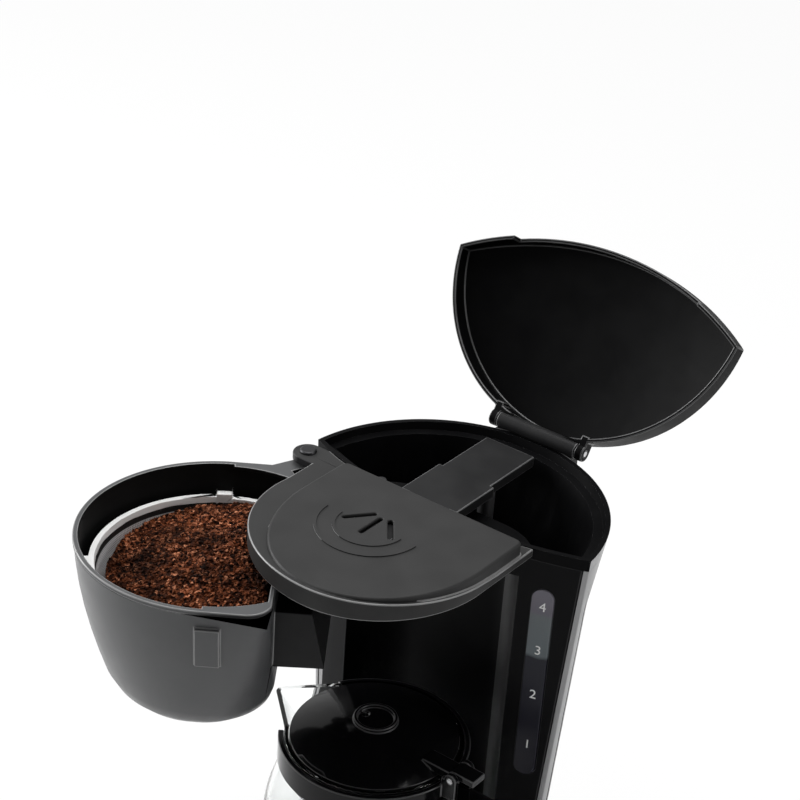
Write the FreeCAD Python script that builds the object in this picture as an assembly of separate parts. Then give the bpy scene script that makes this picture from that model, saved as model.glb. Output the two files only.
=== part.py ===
import FreeCAD, Part
import math
import os

# Drip coffee maker with an open-topped water tank under a hinged lid, a filter
# basket that swings out to the left, and a glass carafe on a warming plate.
# Millimetres, +Z up, +Y to the rear, the table at Z = 0. While the pieces are
# made, X = 0 is the tower's middle and Y = 0 the chord between its two front
# corners at the rim. Every moving piece is modelled closed, then turned to its
# photographed pose, and at the end all are moved together, so that the origin
# lies on the table under the middle of the whole machine.

V = FreeCAD.Vector

# Driving dimensions: tower
rim_height = 232.0
tower_half_width = 85.0
tower_depth = 78.0
body_depth = 66.0
flare_start = 196.0
tower_lean = 14.0
tower_bow = 17.0
shell_wall = 2.4
shell_lip = 2.6
panel_wall = 2.6
rim_band = 6.0
rim_wall = 2.6
rim_ledge = 1.8
tank_wall = 2.2
tank_floor = 70.0
seam = 0.4
touch = 0.05

# Driving dimensions: water window
window_side = 10.5
window_width = 10.6
window_top = 210.0
window_bottom = 96.0
window_proud = 0.8
window_flange = 1.4
window_border = 2.5
window_seal_depth = 1.2

# Driving dimensions: brew axis, carafe bay and brew head
brew_x = -7.0
brew_y = -50.0
bay_side = 33.0
bay_rear = 12.0
bay_drop = 18.6
bay_corner = 28.0
head_left = 72.0
head_left_end = 43.0
head_right = 58.0
head_right_end = 54.0
head_front = 117.5
flange_height = 4.5
plateau_height = 7.0
plateau_left = 54.0
plateau_left_end = 50.0
plateau_right = 56.5
plateau_right_end = 52.0
plateau_front = 115.5
plateau_rear = 16.5
plateau_corner = 4.0
facet_start = 40.0
facet_drop = 0.8
head_wall = 2.2
head_round = 1.6
head_floor = 2.0
vent_width = 2.6
vent_length = 15.0
vent_start = 8.0
vent_spread = 38.0
vent_y = -40.0
ring_y = -56.0
ring_radii = (18.0, 27.0)
ring_width = 1.4
ring_height = 0.5
spray_radius = 24.0
spray_collar = 17.0
spray_plate_wall = 0.9
spray_hole = 1.0
tongue_half_width = 7.0
tongue_offset = 30.0
tongue_reach = 9.0

# Driving dimensions: water duct over the tank
duct_half_front = 17.4
duct_half_rear = 15.2
duct_step_y = 25.0
duct_drop = 0.6
duct_height = 6.0
duct_wall = 1.6
duct_neck_half = 13.0
duct_reach = 6.0
riser_y = 35.0

# Driving dimensions: filter basket
basket_gap = 1.5
basket_half_width = 67.5
basket_side_end = 50.0
basket_front = 120.5
basket_rear = 18.0
basket_corner = 12.0
basket_floor_half = 47.0
basket_floor_side = 58.0
basket_floor_front = 99.5
basket_floor_corner = 38.0
basket_belly = 1.76
basket_depth = 88.0
basket_wall = 2.2
basket_floor_round = 18.0
basket_steps = 6
round_steps = 4
basket_mouth = 63.0
bead_height = 2.4
bead_out = 0.6
tail_gap = 0.9
tail_drop = 51.0
tail_side = 15.0
tail_rear_top = 0.0
tail_rear_bottom = 7.0
notch_side = 2.5
notch_under = 1.5
grip_front = 53.0
grip_rear = 41.0
grip_top = 10.0
grip_bottom = 33.0
grip_proud = 2.0
swing_x = -81.0
swing_y = -13.0
swing_pin_radius = 2.5
swing_cap_radius = 4.5
swing_cap_height = 1.5
swing_cap_round = 1.2
knuckle_radius = 6.5
knuckle_height = 46.0
knuckle_arm = 5.0
ear_radius = 8.0
bracket_height = 6.0
bracket_width = 15.0
bracket_gap = 6.0
run_gap = 0.3
fit_gap = 0.05
swing_open = 55.5

# Driving dimensions: filter and drip valve
ring_drop = 15.5
ring_depth = 3.4
ring_band = 3.0
ring_gap = 3.6
tab_width = 8.0
tab_height = 1.6
tab_turn = 4.0
lug_turns = (180, 275, 320)
mesh_wall = 0.8
mesh_clear = 2.8
cage_radius = 11.0
cage_wall = 1.4
cage_height = 13.0
cage_slot = 4.0
seal_radius = 8.0
seal_depth = 2.0
stem_radius = 3.0
stem_drop = 12.0
stem_foot_radius = 5.0
stem_foot_height = 2.5
drain_radius = 1.4
drain_circle = 5.6
drain_count = 6
spring_radius = 4.8
spring_wire = 0.45
spring_turns = 5

# Driving dimensions: reservoir lid
lid_overhang = 2.0
lid_rear_overhang = 1.0
lid_front = 25.0
lid_wall = 2.2
lid_edge_height = 9.6
lid_rise = 14.4
lid_crown_y = 20.0
lid_notch_half = 57.0
lid_notch_gap = 0.9
lid_hinge_y = 80.0
lid_hinge_rise = 3.0
lid_barrel_radius = 4.5
lid_pin_radius = 1.5
lid_hinge_half = 29.5
lid_knuckle_length = 5.0
lid_bracket_drop = 12.0
lid_bracket_rear = 82.0
lid_open = 122.0

# Driving dimensions: base, warming plate and heater
foot_height = 3.0
foot_radius = 8.0
foot_rear_inset = 12.0
base_height = 26.0
pot_x = 0.0
pot_y = -50.0
base_wall = 2.5
base_half_width = 62.0
base_front = 112.0
base_side_end = 40.0
cover_wall = 2.0
plate_radius = 50.0
plate_wall = 1.5
plate_seal_width = 3.0
plate_seal_wall = 1.2
plate_skirt = 3.0
heater_radius = 36.0
heater_tube_radius = 4.2
heater_bore = 2.8
plate_saddle = 5.8
saddle_half_width = 5.0
heater_leg = 30.0
clamp_half_length = 43.0
clamp_half_width = 6.0
clamp_wall = 1.5
clamp_screw_radius = 2.5
thermostat_radius = 8.0
thermostat_height = 9.0
thermostat_offset = 17.0
fuse_radius = 2.4
fuse_length = 12.0
hose_wall = 1.6
hose_overlap = 8.0
hose_bend = 16.0
inlet_y = 27.0
valve_bore = 3.0
valve_flange_radius = 9.0
valve_flange_wall = 2.5
valve_length = 18.0
clip_wall = 0.8
clip_width = 5.0
grommet_wall = 3.0
grommet_lip = 1.6
boss_radius = 4.0
boss_side = 48.0
boss_front_y = -18.0
boss_rear_inset = 31.0
screw_radius = 1.5
screw_head_radius = 2.8
screw_head_height = 1.6
screw_length = 11.0
mount_screw_length = 7.0
terminal_size = (24.0, 12.0, 10.0)
terminal_y = 14.0
gland_radius = 5.0
gland_bore = 3.4
gland_flange = 8.0
gland_flange_wall = 2.0
gland_height = 14.0

# Driving dimensions: switch and pilot lamp
switch_z = 15.0
switch_flat = 2.5
rocker_half_length = 9.0
rocker_half_height = 5.0
rocker_gap = 0.5
rocker_tilt = 7.0
rocker_pivot_radius = 1.0
rocker_pivot_depth = 3.5
rocker_crest = 4.2
rocker_valley = 3.0
rocker_heel = 5.0
bezel_wall = 1.2
bezel_lip = 0.96
bezel_border = 2.4
bezel_proud = 1.8
bezel_depth = 16.0
pilot_offset = 24.0
pilot_radius = 3.0
pilot_flange = 1.0
pilot_length = 6.0

# Driving dimensions: carafe
glass_wall = 2.2
glass_height = 84.0
glass_foot_radius = 45.0
glass_foot_round = 8.0
glass_belly_radius = 56.0
glass_belly_height = 32.0
glass_neck_radius = 46.5
glass_neck_start = 66.0
spout_reach = 64.0
spout_tip_radius = 4.0
spout_spread = 31.0
spout_drop = 14.0
spout_angle = 183.0
carafe_seat = 0.3
collar_wall = 3.0
collar_height = 14.0
band_screw_drop = 10.5
collar_drop = 1.0
collar_opening = 64.0
collar_fit = 0.1
handle_reach = 88.0
handle_thickness = 13.0
handle_half_width = 9.0
handle_height = 64.0
handle_round = 3.0
handle_foot = 8.0
band_screw_radius = 2.0
cap_plug_gap = 0.5
cap_plug_depth = 7.0
cap_wall = 2.0
cap_rise = 10.0
cap_edge_gap = 0.4
cap_knob_radius = 11.5
cap_knob_height = 1.5
cap_drip_radius = 2.4
cap_hinge_reach = 53.5
cap_hinge_rise = 3.6
cap_pin_radius = 1.5
cap_barrel_radius = 3.6
cap_barrel_half = 5.0
cap_lug_wall = 3.0
cap_thumb_length = 12.0

# Sizes worked out from the driving ones
shell_top = rim_height - rim_band
front_radius = (tower_half_width ** 2 + tower_bow ** 2) / (2 * tower_bow)
front_centre = front_radius - tower_bow
tank_inset = panel_wall + window_flange + window_seal_depth
bay_half_width = tower_half_width - bay_side
bay_top = rim_height - bay_drop
window_x = bay_half_width + panel_wall + window_side
bracket_inner = bay_half_width + bracket_gap
tail_half_width = bay_half_width - tail_side
head_bottom = rim_height - flange_height
head_top = rim_height + plateau_height
basket_top = head_bottom - basket_gap
basket_bottom = basket_top - basket_depth
valve_seat = basket_bottom + basket_wall
mesh_drop = basket_depth - basket_wall - cage_height - mesh_clear
deck_under = base_height - base_wall
plate_top = base_height + plate_wall
carafe_bottom = plate_top + carafe_seat
glass_top = carafe_bottom + glass_height
heater_z = base_height - plate_saddle - heater_tube_radius
hose_bore = heater_tube_radius + fit_gap
hose_radius = hose_bore + hose_wall
inlet_x = pot_x + heater_radius
outlet_x = pot_x - heater_radius
heater_end = pot_y + heater_leg
lid_half_width = tower_half_width + lid_overhang
lid_depth = tower_depth + lid_rear_overhang
lid_bottom = rim_height + seam
lid_hinge_z = rim_height + lid_hinge_rise
lid_middle_half = lid_hinge_half - lid_knuckle_length
duct_top = rim_height - duct_drop
duct_bottom = duct_top - duct_height
switch_y = -(base_front - switch_flat)
boss_rear_x = tower_half_width - boss_rear_inset
cap_hinge_z = glass_top + cap_hinge_rise
tower_over = rim_height + rim_band
cut_over = 1.0
far = 300.0


def swept(path, radius):
    """Round bar along a path."""
    first = path.Edges[0]
    tangent = first.tangentAt(first.FirstParameter)
    section = Part.Wire(Part.makeCircle(radius, first.firstVertex().Point, tangent))
    return path.makePipeShell([section], True, False)


def box(x0, x1, y0, y1, z0, z1):
    return Part.makeBox(x1 - x0, y1 - y0, z1 - z0, V(x0, y0, z0))


def rod(radius, start, end):
    along = end - start
    return Part.makeCylinder(radius, along.Length, start, along)


def post(radius, x, y, z0, z1):
    return Part.makeCylinder(radius, z1 - z0, V(x, y, z0))


def tube(outer, bore, start, end):
    return rod(outer, start, end).cut(rod(bore, start, end))


def joined(shapes):
    return shapes[0].multiFuse(shapes[1:]).removeSplitter()


def prism(points, height):
    """Straight prism on a closed outline of points, raised along Z."""
    outline = Part.makePolygon(points + [points[0]])
    return Part.Face(outline).extrude(V(0, 0, height))


def two_arc_wire(z, rear_centre, rear_radius, bow_centre, bow_radius):
    """Closed outline of a rear arc and a front arc, both centred on X = 0."""
    y = rear_radius ** 2 - bow_radius ** 2 - rear_centre ** 2 + bow_centre ** 2
    y = y / (2 * (bow_centre - rear_centre))
    x = math.sqrt(bow_radius ** 2 - (y - bow_centre) ** 2)
    left = V(-x, y, z)
    right = V(x, y, z)
    rear = Part.Arc(right, V(0, rear_centre + rear_radius, z), left).toShape()
    front = Part.Arc(left, V(0, bow_centre - bow_radius, z), right).toShape()
    return Part.Wire([rear, front])


def front_y(x):
    """Front face of the tower, an upright cylinder."""
    return front_centre - math.sqrt(front_radius ** 2 - x ** 2)


def tower_half(z):
    return tower_half_width - tower_lean * (1 - z / rim_height)


def tower_rear(z):
    """Rear of the tower on its middle line: it flares out towards the rim."""
    flare = max(0, z - flare_start) / (rim_height - flare_start)
    depth = body_depth + (tower_depth - body_depth) * flare
    return depth * tower_half(z) / tower_half_width


def tower_wire(z, inset):
    half = tower_half(z)
    corner = front_y(half)
    depth = tower_rear(z)
    centre = (depth ** 2 - corner ** 2 - half ** 2) / (2 * (depth - corner))
    return two_arc_wire(z, centre, depth - centre - inset, front_centre, front_radius - inset)


def tower_solid(z0, z1, inset):
    """Tower outline, leaning in towards the table, inset all round."""
    wires = [tower_wire(z, inset) for z in (0, flare_start, tower_over)]
    body = Part.makeLoft(wires, True, True)
    return body.common(box(-far, far, -far, far, z0, z1))


def tower_rear_y(x, z):
    """Rear face of the tower beside its middle line."""
    half = tower_half(z)
    corner = front_y(half)
    depth = tower_rear(z)
    centre = (depth ** 2 - corner ** 2 - half ** 2) / (2 * (depth - corner))
    return centre + math.sqrt((depth - centre) ** 2 - x ** 2)


def u_wire(z, x, half, side_y, front, rear, corner=0):
    """U outline: straight rear, square or with round corners, straight sides, half an ellipse in front."""
    right = V(x + half, side_y, z)
    left = V(x - half, side_y, z)
    tip = V(x, front, z)
    middle = V(x, side_y, z)
    reach = side_y - front
    if reach >= half:
        curve = Part.Ellipse(tip, right, middle)
        turns = ((-math.pi / 2, 0), (0, math.pi / 2))
    else:
        curve = Part.Ellipse(left, tip, middle)
        turns = ((0, math.pi / 2), (math.pi / 2, math.pi))
    arcs = [Part.Edge(Part.ArcOfEllipse(curve, a, b)) for a, b in turns]
    if not corner:
        rear_left = V(x - half, rear, z)
        rear_right = V(x + half, rear, z)
        lines = [Part.makeLine(rear_right, rear_left), Part.makeLine(rear_left, left)]
        return Part.Wire(lines + arcs + [Part.makeLine(right, rear_right)])
    bulge = corner * (1 - math.sqrt(0.5))
    ends = []
    for side in (-1, 1):
        edge = x + side * half
        inner = V(edge - side * corner, rear, z)
        outer = V(edge, rear - corner, z)
        ends.append((inner, Part.Arc(inner, V(edge - side * bulge, rear - bulge, z), outer).toShape(), outer))
    (left_in, left_arc, left_out), (right_in, right_arc, right_out) = ends
    return Part.Wire([Part.makeLine(right_in, left_in), left_arc, Part.makeLine(left_out, left)] + arcs
                     + [Part.makeLine(right, right_out), right_arc])


def u_solid(z0, z1, x, half, side_y, front, rear):
    return Part.Face(u_wire(z0, x, half, side_y, front, rear)).extrude(V(0, 0, z1 - z0))


def lip_window(z0, z1, gap):
    """Space between the shell's two front lips, narrowing with the tower."""
    wires = []
    for z in (z0, z1):
        half = tower_half(z) - shell_lip - gap
        rear = tower_depth / 8
        front = -tower_bow - shell_lip
        points = [V(-half, front, z), V(half, front, z), V(half, rear, z), V(-half, rear, z)]
        wires.append(Part.makePolygon(points + [points[0]]))
    return Part.makeLoft(wires, True, True)


def bay_block(outset, top):
    """Carafe bay as a block with rounded rear corners, grown by an outset."""
    half = bay_half_width + outset
    block = box(-half, half, -far, bay_rear + outset, base_height, top)
    edges = [e for e in block.Edges if abs(e.CenterOfMass.y - bay_rear - outset) < touch
             and abs(e.CenterOfMass.z - (base_height + top) / 2) < touch]
    return block.makeFillet(bay_corner + outset, edges)


def window_slot(grow):
    """Upright slot with round ends, cut straight through the front."""
    half = window_width / 2 + grow
    z0 = window_bottom + window_width / 2
    z1 = window_top - window_width / 2
    slot = box(window_x - half, window_x + half, -tower_depth, 0, z0, z1)
    ends = [rod(half, V(window_x, -tower_depth, z), V(window_x, 0, z)) for z in (z0, z1)]
    return slot.multiFuse(ends).removeSplitter()


def shell_layer(outer_inset, inner_inset, z0, z1):
    """Layer of the tower between two insets."""
    inner = tower_solid(z0 - cut_over, z1 + cut_over, inner_inset)
    return tower_solid(z0, z1, outer_inset).cut(inner)


# Tower: silver shell, front panel, tank and its window

def make_rear_shell():
    shell = shell_layer(0, shell_wall, base_height, shell_top)
    return shell.cut(lip_window(base_height - cut_over, shell_top + cut_over, 0))


def make_front_panel():
    slab = shell_layer(0, panel_wall, base_height, shell_top)
    slab = slab.common(lip_window(base_height, shell_top, seam))
    bay = bay_block(panel_wall, bay_top + panel_wall)
    bay = bay.common(tower_solid(base_height, shell_top, 0))
    panel = joined([slab, bay]).cut(bay_block(0, bay_top))
    panel = panel.cut(window_slot(fit_gap))
    panel = panel.cut(duct_passage(shell_top + cut_over))
    place = bracket_screw_place()
    return panel.cut(rod(screw_radius + touch, place - V(0, cut_over, 0), place + V(0, far, 0)))


def window_layer(outer_inset, inner_inset):
    low = window_bottom - window_width
    return shell_layer(outer_inset, inner_inset, low, window_top + window_width)


def make_water_window():
    pane = window_layer(-window_proud, panel_wall + window_flange / 2).common(window_slot(0))
    flange = window_layer(panel_wall + touch, panel_wall + window_flange)
    return joined([pane, flange.common(window_slot(window_border))])


def make_window_seal():
    ring = window_layer(panel_wall + window_flange + touch, tank_inset - touch)
    return ring.common(window_slot(window_border)).cut(window_slot(-window_border / 2))


def make_tank():
    step = panel_wall + seam
    body = tower_solid(tank_floor - tank_wall, shell_top + rim_ledge, tank_inset)
    body = body.cut(bay_block(step, bay_top + step))
    rim = tower_solid(shell_top, rim_height, 0)
    body = joined([body, rim])
    hollow = tower_solid(tank_floor, rim_height + cut_over, tank_inset + tank_wall)
    hollow = hollow.cut(bay_block(step + tank_wall, bay_top + step + tank_wall))
    mouth = tower_solid(shell_top + rim_ledge, rim_height + cut_over, rim_wall)
    body = body.cut(hollow).cut(mouth)
    body = body.cut(window_slot(-window_border / 2))
    body = body.cut(duct_passage(tower_over))
    for x in tongue_places():
        body = body.cut(tongue_slot(x))
        body = body.cut(post(screw_radius + touch / 5, x, tongue_screw_y(x), shell_top - tank_inset, rim_height))
    body = body.cut(post(heater_tube_radius + fit_gap, inlet_x, inlet_y, tank_floor - tank_wall - cut_over,
                         tank_floor + cut_over))
    grommet = heater_tube_radius + fit_gap + grommet_wall
    return body.cut(post(grommet, 0, riser_y, tank_floor - tank_wall - cut_over, tank_floor + cut_over))


# Water duct from the riser over the tank and into the brew head

def duct_passage(top):
    """Way through the tank's front wall and the front panel's top beam."""
    half = duct_neck_half + seam
    rear = front_y(half - brew_x) + tank_inset + tank_wall + cut_over
    return box(brew_x - half, brew_x + half, -far, rear, duct_bottom - seam, top)


def rise_rear():
    return -plateau_rear - head_wall - seam


def duct_blocks(inset):
    """Duct's outer blocks, or its inner passage when inset by the wall."""
    wall_end = front_y(duct_half_front - brew_x) + tank_inset + tank_wall + seam
    rear_end = tower_rear_y(duct_half_rear - brew_x, duct_bottom) - tank_inset - tank_wall - seam
    low = duct_bottom + inset
    top = duct_top - inset
    wide, slim, neck = [half - inset for half in (duct_half_front, duct_half_rear, duct_neck_half)]
    rise_front = rise_rear() - duct_reach + inset
    head_low = head_bottom + head_floor + inset
    head_high = head_top - head_wall - seam - inset
    front = box(brew_x - wide, brew_x + wide, wall_end + inset, duct_step_y, low, top)
    rear = box(brew_x - slim, brew_x + slim, duct_step_y - inset, rear_end - inset, low, top)
    middle = box(brew_x - neck, brew_x + neck, rise_front, wall_end + inset + cut_over, low, top)
    rise = box(brew_x - neck, brew_x + neck, rise_front, rise_rear() - inset, low, head_high)
    ahead = box(brew_x - neck, brew_x + neck, brew_y - spray_collar + inset, rise_rear() - inset, head_low,
                head_high)
    return joined([rear, front, middle, rise, ahead])


def make_water_duct():
    duct = duct_blocks(0).cut(duct_blocks(duct_wall))
    duct = duct.cut(post(heater_tube_radius + fit_gap, 0, riser_y, duct_bottom - cut_over,
                         duct_bottom + duct_wall + cut_over))
    outlet = post(heater_bore, brew_x, brew_y, head_bottom, head_bottom + head_floor + duct_wall * 2)
    return duct.cut(outlet)


# Brew head: cover with steam vents, floor, spray plate and the hinge ear

def two_sided(z0, z1, left, left_end, right, right_end, front, rear):
    """Slab with a U outline whose left and right halves have their own widths."""
    sides = []
    for half, end, x0, x1 in ((left, left_end, -far, 0), (right, right_end, 0, far)):
        slab = u_solid(z0, z1, 0, half, -end, front, rear)
        sides.append(slab.common(box(x0, x1, -far, far, z0, z1)))
    return joined(sides)


def head_flange(inset, z0, z1):
    return two_sided(z0, z1, head_left - inset, head_left_end, head_right - inset, head_right_end,
                     -head_front + inset, -inset)


def head_plateau(inset, z0, z1):
    return two_sided(z0, z1, plateau_left - inset, plateau_left_end, plateau_right - inset, plateau_right_end,
                     -plateau_front + inset, -plateau_rear - inset)


def head_facet(inset):
    """Upper part of the flange, which rises to the front almost up to the plateau."""
    low = rim_height - head_wall - inset
    high = rim_height - inset
    rise = [V(-far, -facet_start - inset, low), V(-far, -facet_start - inset, high),
            V(-far, -head_front, high + plateau_height - facet_drop), V(-far, -head_front, low)]
    wedge = Part.Face(Part.makePolygon(rise + [rise[0]])).extrude(V(far * 2, 0, 0))
    return head_flange(inset, low, head_top).common(wedge)


def vent_slots():
    slots = []
    for turn in (-vent_spread, 0, vent_spread):
        slot = box(-vent_width / 2, vent_width / 2, -vent_start - vent_length, -vent_start, rim_height, far)
        ends = [post(vent_width / 2, 0, y, rim_height, far) for y in (-vent_start, -vent_start - vent_length)]
        slot = slot.multiFuse(ends).removeSplitter()
        slot.rotate(V(0, 0, 0), V(0, 0, 1), turn)
        slot.translate(V(brew_x, vent_y, 0))
        slots.append(slot)
    return slots


def head_ridges():
    """Two raised half rings in front of the vents."""
    ridges = []
    for radius in ring_radii:
        ridge = post(radius + ring_width / 2, brew_x, ring_y, head_top - cut_over, head_top + ring_height)
        ridge = ridge.cut(post(radius - ring_width / 2, brew_x, ring_y, rim_height, far))
        ridges.append(ridge.cut(box(-far, far, ring_y, far, rim_height, far)))
    return ridges


def make_head_cover():
    plateau = head_plateau(0, rim_height - head_wall, head_top)
    corners = [e for e in plateau.Edges if abs(e.CenterOfMass.y + plateau_rear) < touch
               and abs(e.BoundBox.ZLength - plateau_height - head_wall) < touch]
    plateau = plateau.makeFillet(plateau_corner, corners)
    rim_edges = [e for e in plateau.Edges if e.BoundBox.ZMin > head_top - touch]
    plateau = plateau.makeFillet(head_round, rim_edges)
    flange = head_flange(0, head_bottom, rim_height)
    ear = post(ear_radius, swing_x, swing_y, head_bottom, rim_height)
    web = box(swing_x, ear_radius - head_left, swing_y - ear_radius, swing_y + ear_radius, head_bottom, rim_height)
    cover = joined([flange, ear, web])
    cover = cover.cut(tower_solid(head_bottom - cut_over, tower_over, -seam))
    plateau = plateau.cut(tower_solid(head_bottom, rim_height + touch, -seam))
    cover = joined([cover, plateau, head_facet(0)] + head_ridges())
    inside = head_flange(head_wall, head_bottom - cut_over, rim_height - head_wall)
    cover = cover.cut(inside.cut(behind(-tower_bow - seam)))
    cover = cover.cut(head_plateau(head_wall, rim_height - head_wall - cut_over, head_top - head_wall))
    cover = cover.cut(head_facet(head_wall)).cut(duct_clear(duct_top + seam))
    for slot in vent_slots():
        cover = cover.cut(slot)
    for x in tongue_places():
        cover = cover.cut(tongue_slot(x))
    return cover.cut(post(swing_pin_radius + touch / 5, swing_x, swing_y, head_bottom - cut_over,
                          rim_height + cut_over))


def behind(y):
    """Everything to the rear of a plane."""
    return box(-far, far, y, far, -far, far)


def tongue_places():
    return [brew_x + side * tongue_offset for side in (-1, 1)]


def tongue_screw_y(x):
    return front_y(x) + rim_wall + screw_head_radius + seam


def tongue_slot(x):
    """Way through the rim and the head's rear edge for one mounting tongue."""
    half = tongue_half_width + seam
    rear = front_y(abs(x) + half) + rim_wall + cut_over
    return box(x - half, x + half, -tower_bow - seam - cut_over, rear,
               shell_top + rim_ledge - touch / 5, head_bottom + head_floor + seam)


def make_head_floor():
    plate = head_flange(head_wall + seam, head_bottom, head_bottom + head_floor)
    plate = plate.cut(behind(-tower_bow - seam))
    low = shell_top + rim_ledge + touch
    tongues = [box(x - tongue_half_width, x + tongue_half_width,
                   -tower_bow - head_wall, front_y(x) + tongue_reach,
                   low, head_bottom + head_floor) for x in tongue_places()]
    plate = joined([plate] + tongues).cut(duct_clear(far))
    for x in tongue_places():
        plate = plate.cut(post(screw_radius + touch, x, tongue_screw_y(x), 0, far))
    return plate.cut(post(spray_collar + fit_gap, brew_x, brew_y, 0, far))


def duct_clear(top):
    """Room for the duct's neck and its rise into the head."""
    half = duct_neck_half + seam
    return box(brew_x - half, brew_x + half, rise_rear() - duct_reach - seam, 0, 0, top)


def make_spray_plate():
    low = head_bottom - spray_plate_wall
    plate = post(spray_radius, brew_x, brew_y, low, head_bottom)
    collar = post(spray_collar, brew_x, brew_y, low, head_bottom + head_floor)
    plate = joined([plate, collar])
    plate = plate.cut(post(spray_collar - head_wall, brew_x, brew_y, head_bottom, far))
    for ring in (1, 2):
        count = 6 * ring
        for i in range(count):
            turn = 2 * math.pi * i / count
            reach = ring * spray_collar / 3
            plate = plate.cut(post(spray_hole, brew_x + reach * math.cos(turn), brew_y + reach * math.sin(turn),
                                   low - cut_over, far))
    return plate


def bracket_screw_place():
    x = -bracket_inner - bracket_width / 2
    return V(x, front_y(x), bracket_top() - bracket_height / 2)


def make_mount_screws():
    """Two upright screws through the head's tongues and one through the hinge bracket."""
    screws = []
    seat = head_bottom + head_floor
    for x in tongue_places():
        y = tongue_screw_y(x)
        head = post(screw_head_radius, x, y, seat, seat + screw_head_height)
        screws.append(joined([head, post(screw_radius, x, y, seat - mount_screw_length, seat + touch)]))
    place = bracket_screw_place()
    start = V(place.x, swing_y - knuckle_radius, place.z)
    head = rod(screw_head_radius, start - V(0, screw_head_height, 0), start)
    shank = rod(screw_radius, start - V(0, touch, 0), place + V(0, panel_wall + seam, 0))
    return Part.Compound(screws + [joined([head, shank])])


# Basket hinge on the left

def bracket_top():
    return basket_top - knuckle_height - run_gap


def make_swing_bracket():
    top = bracket_top()
    low = top - bracket_height
    front = swing_y - knuckle_radius
    lug = post(knuckle_radius, swing_x, swing_y, low, top)
    arm = box(swing_x, -bracket_inner, front, swing_y + knuckle_radius, low, top)
    foot = box(-bracket_inner - bracket_width, -bracket_inner, front, 0, low, top)
    bracket = joined([lug, arm, foot]).cut(tower_solid(low - cut_over, top + cut_over, -touch))
    bracket = bracket.cut(post(swing_pin_radius + touch / 5, swing_x, swing_y, low - cut_over, top + cut_over))
    hole = bracket_screw_place()
    return bracket.cut(rod(screw_radius + touch, hole - V(0, far, 0), hole + V(0, cut_over, 0)))


def make_swing_pin():
    low = bracket_top() - bracket_height
    shaft = post(swing_pin_radius, swing_x, swing_y, low, rim_height)
    cap = post(swing_cap_radius, swing_x, swing_y, rim_height, rim_height + swing_cap_height)
    cap = cap.makeFillet(swing_cap_round, [e for e in cap.Edges if e.BoundBox.ZMin > rim_height + touch])
    return joined([shaft, cap])


# Filter basket, its filter and the drip valve

def basket_wire(depth, inset):
    """Basket outline at a depth below its rim, inset all round: steep at first, drawn in to the floor."""
    t = (max(depth, 0) / basket_depth) ** basket_belly
    half = basket_half_width + (basket_floor_half - basket_half_width) * t - inset
    side_y = -basket_side_end + (basket_side_end - basket_floor_side) * t
    front = -basket_front + (basket_front - basket_floor_front) * t + inset
    corner = basket_corner + (basket_floor_corner - basket_corner) * t - inset
    return u_wire(basket_top - depth, brew_x, half, side_y, front, -basket_rear - inset, corner)


def basket_loft(depth0, depth1, inset):
    steps = [depth0 + (depth1 - depth0) * i / basket_steps for i in range(basket_steps + 1)]
    return Part.makeLoft([basket_wire(depth, inset) for depth in steps], True, True)


def rounded_bowl(depth1, inset, rounding):
    """Bowl whose wall turns into its flat floor on a round of a given radius."""
    side = depth1 - rounding
    sections = [(side * i / basket_steps, inset) for i in range(basket_steps)]
    for i in range(round_steps + 1):
        turn = math.pi / 2 * i / round_steps
        sections.append((side + rounding * math.sin(turn), inset + rounding * (1 - math.cos(turn))))
    return Part.makeLoft([basket_wire(depth, in_by) for depth, in_by in sections], True, True)


def tail_block(inset):
    """Rear block of the basket that fills the bay's top, open below."""
    wires = []
    half = tail_half_width - inset
    front = -basket_rear - basket_wall + inset
    for z, rear in ((bay_top - tail_gap - inset, tail_rear_top), (rim_height - tail_drop, tail_rear_bottom)):
        points = [V(-half, front, z), V(half, front, z), V(half, rear - inset, z), V(-half, rear - inset, z)]
        wires.append(Part.makePolygon(points + [points[0]]))
    return Part.makeLoft(wires, True, True)


def corner_shelf():
    """Flat shelf at the rim that fills the two rear corners round the mouth."""
    shelf = basket_loft(0, basket_wall, 0).common(behind(brew_y))
    return shelf.cut(post(basket_mouth, brew_x, brew_y, 0, far))


def inlet_notch():
    """Gap in the basket's rear wall that passes the water duct's neck."""
    half = duct_neck_half + notch_side
    return box(brew_x - half, brew_x + half, rise_rear() - duct_reach, 0, duct_bottom - notch_under, far)


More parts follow.
